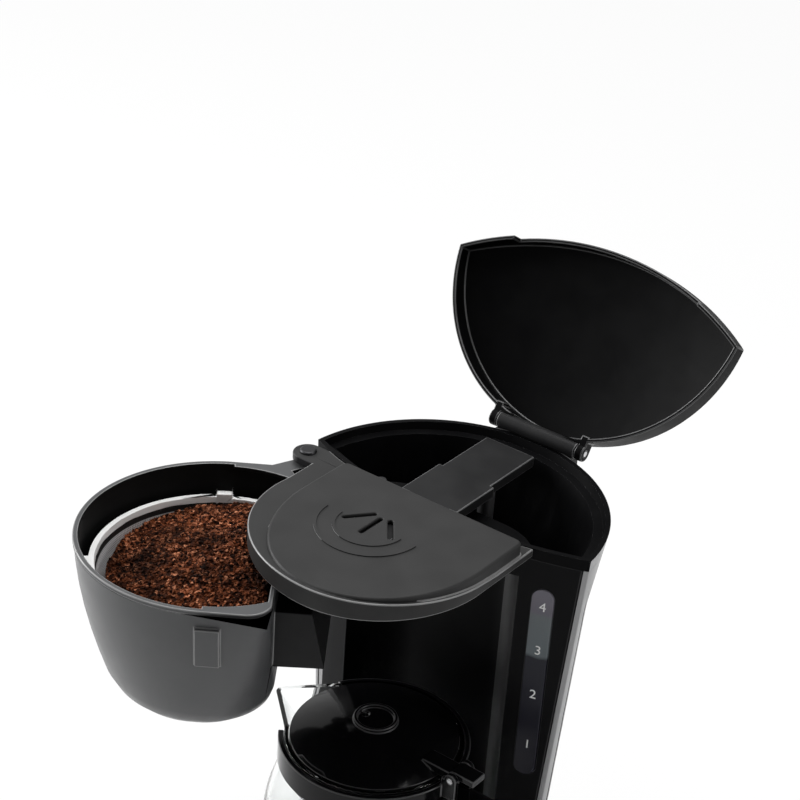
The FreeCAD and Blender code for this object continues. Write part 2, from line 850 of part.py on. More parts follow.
def make_basket_bowl():
    bowl = rounded_bowl(basket_depth, 0, basket_floor_round)
    bead = Part.Face(basket_wire(0, -bead_out)).extrude(V(0, 0, -bead_height))
    bead = bead.cut(behind(-basket_rear))
    knuckle = post(knuckle_radius, swing_x, swing_y, basket_top - knuckle_height, basket_top)
    corner = V(brew_x - basket_floor_half - basket_wall, -basket_side_end, 0)
    along = corner - V(swing_x, swing_y, 0)
    along.normalize()
    side = V(-along.y, along.x, 0) * knuckle_arm
    start = V(swing_x, swing_y, basket_top - knuckle_height)
    end = V(corner.x, corner.y, basket_top - knuckle_height)
    arm = prism([start + side, start - side, end - side, end + side], knuckle_height)
    grip_zone = box(brew_x, far, -grip_front, -grip_rear, basket_top - grip_bottom, basket_top - grip_top)
    grip = basket_loft(grip_top, grip_bottom, -grip_proud).common(grip_zone)
    bowl = joined([bowl, bead, knuckle, arm, grip, tail_block(0).cut(tail_block(basket_wall))])
    inside = rounded_bowl(basket_depth - basket_wall, basket_wall, basket_floor_round - basket_wall)
    bowl = joined([bowl.cut(inside), corner_shelf()]).cut(inlet_notch())
    bowl = bowl.cut(post(swing_pin_radius + fit_gap, swing_x, swing_y, 0, far))
    bowl = bowl.cut(post(stem_radius + fit_gap, brew_x, brew_y, basket_bottom - cut_over, basket_top))
    for i in range(drain_count):
        turn = 2 * math.pi * i / drain_count
        bowl = bowl.cut(post(drain_radius, brew_x + drain_circle * math.cos(turn),
                             brew_y + drain_circle * math.sin(turn), basket_bottom - cut_over, basket_top))
    return bowl


def filter_layer(depth0, depth1, inset, gap=ring_gap):
    """Slice of the filter, which follows the basket's wall at a gap and clears the corner shelves."""
    reach = basket_mouth - gap - inset
    layer = basket_loft(depth0, depth1, basket_wall + gap + inset)
    return layer.common(post(reach, brew_x, brew_y, 0, far).fuse(box(-far, far, -far, brew_y, 0, far)))


def spoke(x0, x1, half, z0, z1, turn):
    """Block that points away from the brew axis."""
    block = box(x0, x1, -half, half, z0, z1)
    block.rotate(V(0, 0, 0), V(0, 0, 1), turn)
    block.translate(V(brew_x, brew_y, 0))
    return block


def make_filter_ring():
    end = ring_drop + ring_depth
    top = basket_top - ring_drop
    middle = filter_layer(ring_drop - cut_over, end + cut_over, ring_band)
    ring = filter_layer(ring_drop, end, 0).cut(middle)
    band = filter_layer(ring_drop, end, 0, run_gap).cut(middle)
    lugs = [band.common(spoke(0, far, tab_width / 2, 0, far, turn + tab_turn)) for turn in lug_turns]
    reach = basket_half_width - basket_wall - ring_gap - ring_band * 1.4
    tab = spoke(reach, reach + ring_band, tab_width / 2, top - ring_depth, top + tab_height, 180 + tab_turn)
    return joined([ring, tab] + lugs)


def make_filter_mesh():
    start = ring_drop + ring_depth
    inset = ring_band - mesh_wall
    mesh = filter_layer(start, mesh_drop, inset)
    return mesh.cut(filter_layer(start - cut_over, mesh_drop - mesh_wall, ring_band))


def make_valve_cage():
    top = valve_seat + cage_height
    cage = post(cage_radius, brew_x, brew_y, valve_seat, top)
    cage = cage.cut(post(cage_radius - cage_wall, brew_x, brew_y, valve_seat - cut_over, top - cage_wall))
    slot_top = top - cage_wall * 2
    for turn in (0, 90):
        slot = box(-far, far, -cage_slot / 2, cage_slot / 2, valve_seat - cut_over, slot_top)
        slot.rotate(V(0, 0, 0), V(0, 0, 1), turn)
        slot.translate(V(brew_x, brew_y, 0))
        cage = cage.cut(slot)
    return cage


def make_valve_stem():
    foot = basket_bottom - stem_drop
    stem = post(stem_radius, brew_x, brew_y, foot, valve_seat + seal_depth + run_gap * 4)
    foot_disc = post(stem_foot_radius, brew_x, brew_y, foot, foot + stem_foot_height)
    foot_disc = foot_disc.makeFillet(stem_foot_height / 3, foot_disc.Edges[:1])
    return joined([stem, foot_disc])


def make_valve_seal():
    seal = post(seal_radius, brew_x, brew_y, valve_seat + run_gap, valve_seat + run_gap + seal_depth)
    return seal.cut(post(stem_radius + touch / 5, brew_x, brew_y, 0, far))


def helix_wire(radius, z0, z1, turns):
    """Spring line as a chain of arcs, three to a turn, that climb evenly."""
    edges = []
    count = turns * 3
    rise = (z1 - z0) / count
    for i in range(count):
        points = []
        for step in (0, 0.5, 1):
            turn = 2 * math.pi * (i + step) / 3
            points.append(V(brew_x + radius * math.cos(turn), brew_y + radius * math.sin(turn),
                            z0 + rise * (i + step)))
        edges.append(Part.Arc(points[0], points[1], points[2]).toShape())
    return Part.Wire(edges)


def make_valve_spring():
    z0 = valve_seat + run_gap + seal_depth + spring_wire + touch
    z1 = valve_seat + cage_height - cage_wall - spring_wire - touch
    print("valve_spring gap between turns", round((z1 - z0) / spring_turns - spring_wire * 2, 2))
    return swept(helix_wire(spring_radius, z0, z1, spring_turns), spring_wire)


# Reservoir lid and its hinge

def lid_wire(z, inset):
    rear_centre = (lid_depth ** 2 - lid_half_width ** 2) / (2 * lid_depth)
    bow_radius = (lid_half_width ** 2 + lid_front ** 2) / (2 * lid_front)
    return two_arc_wire(z, rear_centre, lid_depth - rear_centre - inset, bow_radius - lid_front,
                        bow_radius - inset)


def lid_body(inset):
    reach = math.hypot(lid_half_width, lid_crown_y)
    crown = (reach ** 2 + lid_rise ** 2) / (2 * lid_rise)
    top = lid_bottom + lid_edge_height + lid_rise
    ball = Part.makeSphere(crown - inset, V(0, lid_crown_y, top - crown))
    low = lid_bottom - inset
    block = Part.Face(lid_wire(low, inset)).extrude(V(0, 0, top - low + cut_over))
    return block.common(ball)


def hinge_rod(radius, x0, x1):
    return rod(radius, V(x0, lid_hinge_y, lid_hinge_z), V(x1, lid_hinge_y, lid_hinge_z))


def make_lid_shell():
    lid = lid_body(0).cut(lid_body(lid_wall))
    notch_top = head_top + ring_height + lid_notch_gap
    lid = lid.cut(box(-lid_notch_half, lid_notch_half, -far, -lid_wall, 0, notch_top))
    clear = lid_barrel_radius + run_gap * 2
    lid = lid.cut(hinge_rod(clear, -lid_middle_half - run_gap, lid_middle_half + run_gap))
    knuckles = []
    for side in (-1, 1):
        x0 = side * (lid_middle_half + run_gap)
        x1 = side * lid_hinge_half
        knuckles.append(hinge_rod(lid_barrel_radius, min(x0, x1), max(x0, x1)))
        knuckles.append(box(min(x0, x1), max(x0, x1), lid_hinge_y - lid_barrel_radius * 2, lid_hinge_y,
                            lid_bottom, lid_hinge_z + lid_barrel_radius))
    lid = joined([lid] + knuckles)
    return lid.cut(hinge_rod(lid_pin_radius + fit_gap, -far, far))


def make_lid_bracket():
    low = rim_height - lid_bracket_drop
    barrel = hinge_rod(lid_barrel_radius, -lid_middle_half, lid_middle_half)
    block = box(-lid_middle_half, lid_middle_half, tower_depth / 2, lid_bracket_rear, low, lid_hinge_z)
    block = block.cut(box(-far, far, -far, lid_hinge_y - lid_barrel_radius / 2, rim_height - touch, far))
    bracket = joined([barrel, block]).cut(tower_solid(low - cut_over, rim_height + touch, -touch))
    return bracket.cut(hinge_rod(lid_pin_radius + touch / 5, -far, far))


def make_lid_pin():
    return hinge_rod(lid_pin_radius, -lid_hinge_half, lid_hinge_half)


# Base: housing, bottom cover, feet, screws, switch, pilot lamp and cord gland

def base_outline(inset, z0, z1):
    front = u_solid(z0, z1, pot_x, base_half_width - inset, -base_side_end, -base_front + inset, bay_rear)
    return joined([front, tower_solid(z0, z1, inset)])


def boss_places():
    front = [V(pot_x + side * boss_side, boss_front_y, 0) for side in (-1, 1)]
    rear_y = tower_rear_y(boss_rear_x, foot_height) - base_wall - boss_radius * 2
    return front + [V(side * boss_rear_x, rear_y, 0) for side in (-1, 1)]


def make_base_housing():
    body = base_outline(0, foot_height, base_height)
    body = body.cut(base_outline(base_wall, foot_height - cut_over, deck_under))
    well = tower_solid(deck_under - cut_over, base_height + cut_over, tank_inset)
    block = bay_block(tank_inset, base_height + far)
    block.translate(V(0, 0, -far / 2))
    body = body.cut(well.cut(block))
    body = body.cut(post(plate_radius - plate_seal_width, pot_x, pot_y, 0, far))
    bosses = []
    for place in boss_places():
        bosses.append(post(boss_radius, place.x, place.y, foot_height + cover_wall, deck_under + touch))
    for place in boss_places()[2:]:
        rib = box(place.x - base_wall / 2, place.x + base_wall / 2, place.y, far,
                  foot_height + cover_wall, deck_under)
        bosses.append(rib.common(tower_solid(0, base_height, base_wall / 2)))
    pad = switch_half_length() + bezel_border + base_wall
    bosses.append(box(pot_x - pad, pot_x + pad, switch_y, switch_y + base_wall, foot_height + cover_wall + seam,
                      deck_under + touch))
    body = joined([body] + bosses)
    flat = box(pot_x - pad, pot_x + pad, -far, switch_y, switch_z - bezel_half_height() - seam,
               switch_z + bezel_half_height() + seam)
    body = body.cut(flat)
    body = body.cut(switch_hole(fit_gap))
    body = body.cut(rod(pilot_radius + touch, V(pot_x + pilot_offset, -far, switch_z),
                        V(pot_x + pilot_offset, pot_y, switch_z)))
    rear = tower_rear(gland_height)
    body = body.cut(rod(gland_radius + touch, V(0, rear - base_wall * 2, gland_height), V(0, far, gland_height)))
    for place in boss_places():
        body = body.cut(post(screw_radius + touch / 5, place.x, place.y, 0, foot_height + screw_length))
    return body


def make_bottom_cover():
    cover = base_outline(base_wall + seam, foot_height, foot_height + cover_wall)
    for place in boss_places():
        cover = cover.cut(post(screw_radius + touch, place.x, place.y, 0, far))
        sink = foot_height + screw_head_height / 2
        cover = cover.cut(post(screw_head_radius + touch, place.x, place.y, 0, sink))
    return cover


def foot_places():
    front_y_place = -base_front + foot_radius * 3
    rear_y = tower_rear_y(base_half_width / 2, foot_height) - base_wall - foot_rear_inset
    front = [V(pot_x + side * base_half_width / 2, front_y_place, 0) for side in (-1, 1)]
    return front + [V(side * base_half_width / 2, rear_y, 0) for side in (-1, 1)]


def make_feet():
    feet = []
    for place in foot_places():
        foot = post(foot_radius, place.x, place.y, 0, foot_height)
        edge = [e for e in foot.Edges if e.BoundBox.ZMax < touch]
        feet.append(foot.makeChamfer(foot_height / 4, edge))
    return Part.Compound(feet)


def make_bottom_screws():
    screws = []
    for place in boss_places():
        head = post(screw_head_radius, place.x, place.y, foot_height - screw_head_height / 2,
                    foot_height + screw_head_height / 2)
        shank = post(screw_radius, place.x, place.y, foot_height, foot_height + screw_length - cut_over)
        screws.append(joined([head, shank]))
    return Part.Compound(screws)


def switch_half_length():
    swing = math.hypot(rocker_half_length, rocker_crest)
    return swing + rocker_gap + bezel_wall


def bezel_half_height():
    return rocker_half_height + rocker_gap + bezel_wall + bezel_border


def switch_hole(gap):
    half = switch_half_length() + gap
    high = rocker_half_height + rocker_gap + bezel_wall + gap
    return box(pot_x - half, pot_x + half, -far, switch_y + bezel_depth, switch_z - high, switch_z + high)


def rocker_pivot_y():
    return switch_y - bezel_proud + rocker_pivot_depth


def make_switch_bezel():
    half = switch_half_length()
    high = bezel_half_height() - bezel_border
    frame = box(pot_x - half - bezel_border, pot_x + half + bezel_border, switch_y - bezel_proud, switch_y,
                switch_z - high - bezel_border, switch_z + high + bezel_border)
    sleeve = box(pot_x - half, pot_x + half, switch_y - touch, switch_y + bezel_depth, switch_z - high,
                 switch_z + high)
    bezel = joined([frame, sleeve])
    inner = half - bezel_wall
    tall = high - bezel_wall
    bezel = bezel.cut(box(pot_x - inner, pot_x + inner, -far, switch_y + bezel_depth - bezel_wall,
                          switch_z - tall, switch_z + tall))
    return bezel.cut(post(rocker_pivot_radius + fit_gap, pot_x, rocker_pivot_y(), switch_z - high - cut_over,
                          switch_z + high + cut_over))


def make_switch_rocker():
    low = switch_z - rocker_half_height
    y = rocker_pivot_y()
    points = [V(-rocker_half_length, -rocker_crest, 0), V(0, -rocker_valley, 0),
              V(rocker_half_length, -rocker_crest, 0), V(rocker_half_length - rocker_gap, rocker_valley / 2, 0),
              V(0, rocker_heel, 0), V(-rocker_half_length + rocker_gap, rocker_valley / 2, 0)]
    rocker = prism([p + V(pot_x, y, low) for p in points], rocker_half_height * 2)
    reach = rocker_half_height + rocker_gap + bezel_lip
    pivot = post(rocker_pivot_radius, pot_x, y, switch_z - reach, switch_z + reach)
    return joined([rocker, pivot])


def make_pilot_lens():
    x = pot_x + pilot_offset
    wall = -base_side_end - (base_front - base_side_end) * math.sqrt(1 - (pilot_offset / base_half_width) ** 2)
    lens = rod(pilot_radius, V(x, wall - pilot_flange, switch_z), V(x, wall + pilot_length, switch_z))
    front = [e for e in lens.Edges if e.BoundBox.YMax < wall - pilot_flange + touch]
    lens = lens.makeFillet(pilot_radius / 3, front)
    start = wall + base_wall + pilot_radius
    flange = rod(pilot_radius + pilot_flange, V(x, start, switch_z), V(x, start + pilot_flange, switch_z))
    return joined([lens, flange])


def make_cord_gland():
    rear = tower_rear(gland_height)
    inner = rear - base_wall
    shaft = rod(gland_radius, V(0, inner - gland_flange_wall, gland_height),
                V(0, rear + gland_flange_wall, gland_height))
    outside = tower_rear(gland_height + gland_flange) + touch
    outer_flange = rod(gland_flange, V(0, outside, gland_height),
                       V(0, outside + gland_flange_wall, gland_height))
    round_edge = [e for e in outer_flange.Edges if e.BoundBox.YMin > outside + gland_flange_wall - touch]
    outer_flange = outer_flange.makeFillet(gland_flange_wall / 2, round_edge)
    inner_flange = rod(gland_radius + gland_flange_wall / 2, V(0, inner - gland_flange_wall, gland_height),
                       V(0, inner - gland_flange_wall / 2, gland_height))
    gland = joined([shaft, outer_flange, inner_flange])
    return gland.cut(rod(gland_bore, V(0, inner - far, gland_height), V(0, far, gland_height)))


def make_terminal_block():
    length, width, height = terminal_size
    low = foot_height + cover_wall
    block = box(-length / 2, length / 2, terminal_y, terminal_y + width, low, low + height)
    for i in (-1, 0, 1):
        x = i * length / 3
        block = block.cut(post(screw_radius, x, terminal_y + width / 2, low + height / 2, far))
    return block


# Warming plate, heater and water pipes

def make_hot_plate():
    plate = post(plate_radius, pot_x, pot_y, base_height, plate_top)
    edge = [e for e in plate.Edges if e.BoundBox.ZMin > plate_top - touch]
    plate = plate.makeFillet(plate_wall / 2, edge)
    skirt_out = plate_radius - plate_seal_width - plate_seal_wall - touch * 2
    skirt = post(skirt_out, pot_x, pot_y, base_height - plate_skirt, base_height + touch)
    skirt = skirt.cut(post(skirt_out - plate_wall, pot_x, pot_y, 0, base_height))
    saddle = post(heater_radius + saddle_half_width, pot_x, pot_y,
                  base_height - plate_saddle, base_height + touch)
    saddle = saddle.cut(post(heater_radius - saddle_half_width, pot_x, pot_y, 0, base_height))
    saddle = saddle.cut(behind(heater_end - hose_overlap - cut_over))
    return joined([plate, skirt, saddle])


def make_plate_seal():
    outer = plate_radius - plate_seal_width - touch
    inner = outer - plate_seal_wall
    ring = post(outer, pot_x, pot_y, base_height - plate_skirt, base_height)
    return ring.cut(post(inner, pot_x, pot_y, 0, far))


def heater_shape(radius):
    """Half ring at the front with two straight legs to the rear."""
    ring = Part.makeTorus(heater_radius, radius, V(pot_x, pot_y, heater_z), V(0, 0, 1))
    ring = ring.cut(box(-far, far, pot_y, far, 0, far))
    legs = [rod(radius, V(x, pot_y, heater_z), V(x, heater_end, heater_z)) for x in (inlet_x, outlet_x)]
    return joined([ring] + legs)


def make_heater_tube():
    return heater_shape(heater_tube_radius).cut(heater_shape(heater_bore))


def clamp_z():
    return heater_z - heater_tube_radius - clamp_wall


def make_heater_clamp():
    clamp = box(pot_x - clamp_half_length, pot_x + clamp_half_length, pot_y - clamp_half_width,
                pot_y + clamp_half_width, clamp_z(), clamp_z() + clamp_wall)
    return clamp.cut(post(clamp_screw_radius + touch, pot_x, pot_y, 0, far))


def make_clamp_screw():
    shank = post(clamp_screw_radius, pot_x, pot_y, clamp_z() - touch, base_height)
    head = post(clamp_screw_radius * 2, pot_x, pot_y, clamp_z() - screw_head_height, clamp_z())
    return joined([shank, head])


def make_thermostat():
    y = pot_y - thermostat_offset
    low = base_height - thermostat_height
    body = post(thermostat_radius, pot_x, y, low, base_height)
    tabs = [box(pot_x + side * thermostat_radius / 2 - cut_over / 2,
                pot_x + side * thermostat_radius / 2 + cut_over / 2, y - fuse_radius, y + fuse_radius,
                low - fuse_radius, low + touch) for side in (-1, 1)]
    return joined([body] + tabs)


def make_thermal_fuse():
    z = heater_z - heater_tube_radius - fuse_radius - touch
    start = pot_y + clamp_half_width + cut_over
    return rod(fuse_radius, V(outlet_x, start, z), V(outlet_x, start + fuse_length, z))


def turn_arc(corner, before, after):
    """Quarter-turn arc of the hose's bend radius that rounds a square corner."""
    first = corner - before * hose_bend
    last = corner + after * hose_bend
    middle = corner + (after - before) * hose_bend * (1 - math.sqrt(0.5))
    return first, last, Part.Arc(first, middle, last).toShape()


def inlet_path():
    start = V(inlet_x, heater_end - hose_overlap, heater_z)
    first, last, bend = turn_arc(V(inlet_x, inlet_y, heater_z), V(0, 1, 0), V(0, 0, 1))
    end = V(inlet_x, inlet_y, hose_top(inlet_valve_bottom()))
    return Part.Wire([Part.makeLine(start, first), bend, Part.makeLine(last, end)])


def outlet_path():
    start = V(outlet_x, heater_end - hose_overlap, heater_z)
    first, mid, bend = turn_arc(V(outlet_x, riser_y, heater_z), V(0, 1, 0), V(1, 0, 0))
    second, last, rise = turn_arc(V(0, riser_y, heater_z), V(1, 0, 0), V(0, 0, 1))
    end = V(0, riser_y, hose_top(inlet_valve_bottom()))
    return Part.Wire([Part.makeLine(start, first), bend, Part.makeLine(mid, second), rise,
                      Part.makeLine(last, end)])


def inlet_valve_bottom():
    return tank_floor - tank_wall - valve_length


def hose_top(lower_end):
    return lower_end + hose_overlap


def make_inlet_hose():
    return swept(inlet_path(), hose_radius).cut(swept(inlet_path(), hose_bore))


def make_outlet_hose():
    return swept(outlet_path(), hose_radius).cut(swept(outlet_path(), hose_bore))


def make_hose_clips():
    clips = []
    outer = hose_radius + touch + clip_wall
    inner = hose_radius + touch
    z0 = hose_top(inlet_valve_bottom()) - clip_width - cut_over
    for x in (inlet_x, outlet_x):
        start = V(x, heater_end - hose_overlap + cut_over, heater_z)
        clips.append(tube(outer, inner, start, start + V(0, clip_width, 0)))
    for x, y in ((inlet_x, inlet_y), (0, riser_y)):
        clips.append(tube(outer, inner, V(x, y, z0), V(x, y, z0 + clip_width)))
    return Part.Compound(clips)


def make_check_valve():
    low = inlet_valve_bottom()
    under = tank_floor - tank_wall
    valve = post(heater_tube_radius, inlet_x, inlet_y, low, tank_floor + cut_over)
    flange = post(valve_flange_radius, inlet_x, inlet_y, under - valve_flange_wall, under)
    valve = joined([valve, flange])
    valve = valve.cut(post(valve_bore, inlet_x, inlet_y, low - cut_over, far))
    bars = [box(inlet_x - valve_bore, inlet_x + valve_bore, inlet_y - cut_over / 2, inlet_y + cut_over / 2,
                under - cut_over, under)]
    return joined([valve] + bars)


def make_riser_tube():
    return tube(heater_tube_radius, heater_bore, V(0, riser_y, inlet_valve_bottom()),
                V(0, riser_y, duct_bottom + duct_wall))


def make_riser_seal():
    outer = heater_tube_radius + fit_gap + grommet_wall - touch
    low = tank_floor - tank_wall
    seal = post(outer, 0, riser_y, low, tank_floor)
    lip = post(outer + grommet_lip, 0, riser_y, tank_floor, tank_floor + grommet_lip)
    return joined([seal, lip]).cut(post(heater_tube_radius + touch, 0, riser_y, 0, far))


# Carafe: glass, collar, handle and flip lid

def glass_solid(inset, top):
    """Solid of revolution under the glass's outer skin, or its inside when inset."""
    foot = carafe_bottom + inset
    corner = glass_foot_radius + glass_foot_round - inset
    waist = foot + glass_foot_round
    diagonal = glass_foot_round * math.sqrt(0.5)
    p1 = V(glass_foot_radius - inset, 0, foot)
    p2 = V(glass_foot_radius - inset + diagonal, 0, foot + glass_foot_round - diagonal)
    p3 = V(corner, 0, waist)
    p4 = V(glass_belly_radius - inset, 0, carafe_bottom + glass_belly_height)
    p5 = V(glass_neck_radius - inset, 0, carafe_bottom + glass_neck_start)
    p6 = V(glass_neck_radius - inset, 0, top)
    edges = [Part.makeLine(V(0, 0, foot), p1), Part.Arc(p1, p2, p3).toShape(), Part.Arc(p3, p4, p5).toShape(),
             Part.makeLine(p5, p6), Part.makeLine(p6, V(0, 0, top)), Part.makeLine(V(0, 0, top), V(0, 0, foot))]
    solid = Part.Face(Part.Wire(edges)).revolve(V(0, 0, 0), V(0, 0, 1), 360)
    solid.translate(V(pot_x, pot_y, 0))
    return solid


def beak_wire(z, apex, inset):
    """Strip from the neck's middle that ends in a triangle with a round tip towards +X."""
    spread = math.radians(spout_spread)
    root = glass_neck_radius * math.cos(spread)
    half = glass_neck_radius * math.sin(spread)
    lean = math.atan2(half, apex - root)
    half = half - inset / math.cos(lean)
    nose = spout_tip_radius - inset
    middle = apex - spout_tip_radius / math.sin(lean)
    side = V(middle + nose * math.sin(lean), nose * math.cos(lean), z)
    other = V(side.x, -side.y, z)
    bow = Part.Arc(other, V(middle + nose, 0, z), side).toShape()
    ends = [side, V(root, half, z), V(0, half, z), V(0, -half, z), V(root, -half, z), other]
    return Part.Wire([Part.makeLine(p, q) for p, q in zip(ends, ends[1:])] + [bow])


def spout_solid(inset):
    """Beak of the glass: nothing at the neck, it widens upwards to the pouring lip."""
    low = beak_wire(glass_top - spout_drop, glass_neck_radius, inset)
    top = beak_wire(glass_top, spout_reach, inset)
    beak = Part.makeLoft([low, top], True, True)
    if inset:
        beak = beak.fuse(Part.Face(top).extrude(V(0, 0, cut_over)))
    beak.rotate(V(0, 0, 0), V(0, 0, 1), spout_angle)
    beak.translate(V(pot_x, pot_y, 0))
    return beak


def make_carafe_glass():
    glass = joined([glass_solid(0, glass_top), spout_solid(0)])
    glass = glass.cut(glass_solid(glass_wall, glass_top + cut_over))
    return glass.cut(spout_solid(glass_wall))


def collar_ring(radius, z0, z1):
    return post(radius, pot_x, pot_y, z0, z1)


def make_carafe_collar():
    top = glass_top - collar_drop
    low = top - collar_height
    inner = glass_neck_radius + collar_fit
    ring = collar_ring(inner + collar_wall, low, top).cut(collar_ring(inner, low - cut_over, top + cut_over))
    gap = math.radians(collar_opening / 2)
    reach = glass_belly_radius * 2
    aim = math.radians(spout_angle)
    wedge = [V(pot_x, pot_y, low - cut_over)]
    for turn in (aim - gap, aim, aim + gap):
        wedge.append(V(pot_x + reach * math.cos(turn), pot_y + reach * math.sin(turn), low - cut_over))
    ring = ring.cut(prism(wedge, collar_height + cut_over * 2))
    hinge_x = pot_x + cap_hinge_reach
    lugs = []
    for side in (-1, 1):
        y0 = pot_y + side * (cap_barrel_half + run_gap)
        y1 = y0 + side * cap_lug_wall
        lug = rod(cap_barrel_radius, V(hinge_x, min(y0, y1), cap_hinge_z), V(hinge_x, max(y0, y1), cap_hinge_z))
        foot = box(pot_x + inner + collar_wall / 2, hinge_x + cap_barrel_radius, min(y0, y1), max(y0, y1),
                   low + collar_height / 2, cap_hinge_z)
        foot = foot.cut(collar_ring(inner + touch, 0, far))
        lugs += [lug, foot]
    collar = joined([ring] + lugs)
    bore = rod(cap_pin_radius + touch / 5, V(hinge_x, -far, cap_hinge_z), V(hinge_x, far, cap_hinge_z))
    collar = collar.cut(bore)
    return collar.cut(band_screw_rod(band_screw_radius + touch))


def band_screw_rod(radius):
    z = glass_top - collar_drop - band_screw_drop
    x = pot_x + glass_neck_radius + collar_fit + collar_wall / 4
    return rod(radius, V(x, pot_y, z), V(x + collar_wall + handle_foot, pot_y, z))


def make_carafe_handle():
    top = glass_top - collar_drop - collar_height / 2 - touch
    low = top - handle_height
    root = pot_x + glass_neck_radius + collar_fit + collar_wall + touch
    out = pot_x + handle_reach
    thick = handle_thickness
    curve = thick
    root_low = top - collar_height / 2
    inner = out - thick
    outer_bend = Part.Arc(V(out - curve, 0, top), V(out - curve * (1 - math.sqrt(0.5)), 0,
                          top - curve * (1 - math.sqrt(0.5))), V(out, 0, top - curve)).toShape()
    foot_bend = Part.Arc(V(out, 0, low + thick / 2), V(out - thick / 2, 0, low),
                         V(inner, 0, low + thick / 2)).toShape()
    small = handle_foot / 2
    inner_bend = Part.Arc(V(inner, 0, root_low - small), V(inner - small * (1 - math.sqrt(0.5)), 0,
                          root_low - small * (1 - math.sqrt(0.5))), V(inner - small, 0, root_low)).toShape()
    edges = [Part.makeLine(V(root, 0, top), V(out - curve, 0, top)), outer_bend,
             Part.makeLine(V(out, 0, top - curve), V(out, 0, low + thick / 2)), foot_bend,
             Part.makeLine(V(inner, 0, low + thick / 2), V(inner, 0, root_low - small)), inner_bend,
             Part.makeLine(V(inner - small, 0, root_low), V(root, 0, root_low)),
             Part.makeLine(V(root, 0, root_low), V(root, 0, top))]
    handle = Part.Face(Part.Wire(edges)).extrude(V(0, handle_half_width * 2, 0))
    handle.translate(V(0, pot_y - handle_half_width, 0))
    long_edges = [e for e in handle.Edges if e.BoundBox.YLength < touch and e.CenterOfMass.x > root + touch]
    handle = handle.makeFillet(handle_round, long_edges)
    handle = handle.cut(collar_ring(glass_neck_radius + collar_fit + collar_wall + touch, 0, far))
    return handle.cut(band_screw_rod(band_screw_radius + touch / 5))


def make_band_screw():
    return band_screw_rod(band_screw_radius)


def make_carafe_lid():
    plug_radius = glass_neck_radius - glass_wall - cap_plug_gap
    low = glass_top + cap_edge_gap
    plug = collar_ring(plug_radius, glass_top - cap_plug_depth, low + touch)
    plug = plug.cut(collar_ring(plug_radius - cap_wall, 0, far))
    crown = (plug_radius ** 2 + cap_rise ** 2) / (2 * cap_rise)
    dome = Part.makeSphere(crown, V(pot_x, pot_y, low + cap_rise - crown))
    hollow = Part.makeSphere(crown - cap_wall, V(pot_x, pot_y, low + cap_rise - crown))
    dome = dome.common(collar_ring(plug_radius, low, far)).cut(hollow)
    ring = collar_ring(cap_knob_radius, low + cap_rise - cap_wall, low + cap_rise + cap_knob_height)
    ring = ring.cut(collar_ring(cap_knob_radius - cap_wall, low + cap_rise - cap_wall / 2, far))
    hinge_x = pot_x + cap_hinge_reach
    barrel = rod(cap_barrel_radius, V(hinge_x, pot_y - cap_barrel_half, cap_hinge_z),
                 V(hinge_x, pot_y + cap_barrel_half, cap_hinge_z))
    arm = box(pot_x + plug_radius - cap_rise, hinge_x, pot_y - cap_barrel_half, pot_y + cap_barrel_half,
              low + seam, cap_hinge_z + cap_wall)
    thumb = box(hinge_x, hinge_x + cap_thumb_length, pot_y - cap_barrel_half, pot_y + cap_barrel_half,
                cap_hinge_z, cap_hinge_z + cap_barrel_radius)
    lid = joined([plug, dome, ring, arm, barrel, thumb])
    lid = lid.cut(rod(cap_pin_radius + fit_gap, V(hinge_x, -far, cap_hinge_z), V(hinge_x, far, cap_hinge_z)))
    return lid.cut(post(cap_drip_radius, brew_x, brew_y, 0, far))


def make_carafe_lid_pin():
    hinge_x = pot_x + cap_hinge_reach
    half = cap_barrel_half + run_gap + cap_lug_wall
    return rod(cap_pin_radius, V(hinge_x, pot_y - half, cap_hinge_z), V(hinge_x, pot_y + half, cap_hinge_z))


# Photographed pose of each moving group

def as_modelled(shape):
    return shape


def lid_opened(shape):
    shape.rotate(V(0, lid_hinge_y, lid_hinge_z), V(-1, 0, 0), lid_open)
    return shape


def basket_swung(shape):
    shape.rotate(V(swing_x, swing_y, 0), V(0, 0, -1), swing_open)
    return shape


def rocker_off(shape):
    shape.rotate(V(pot_x, rocker_pivot_y(), 0), V(0, 0, 1), rocker_tilt)
    return shape


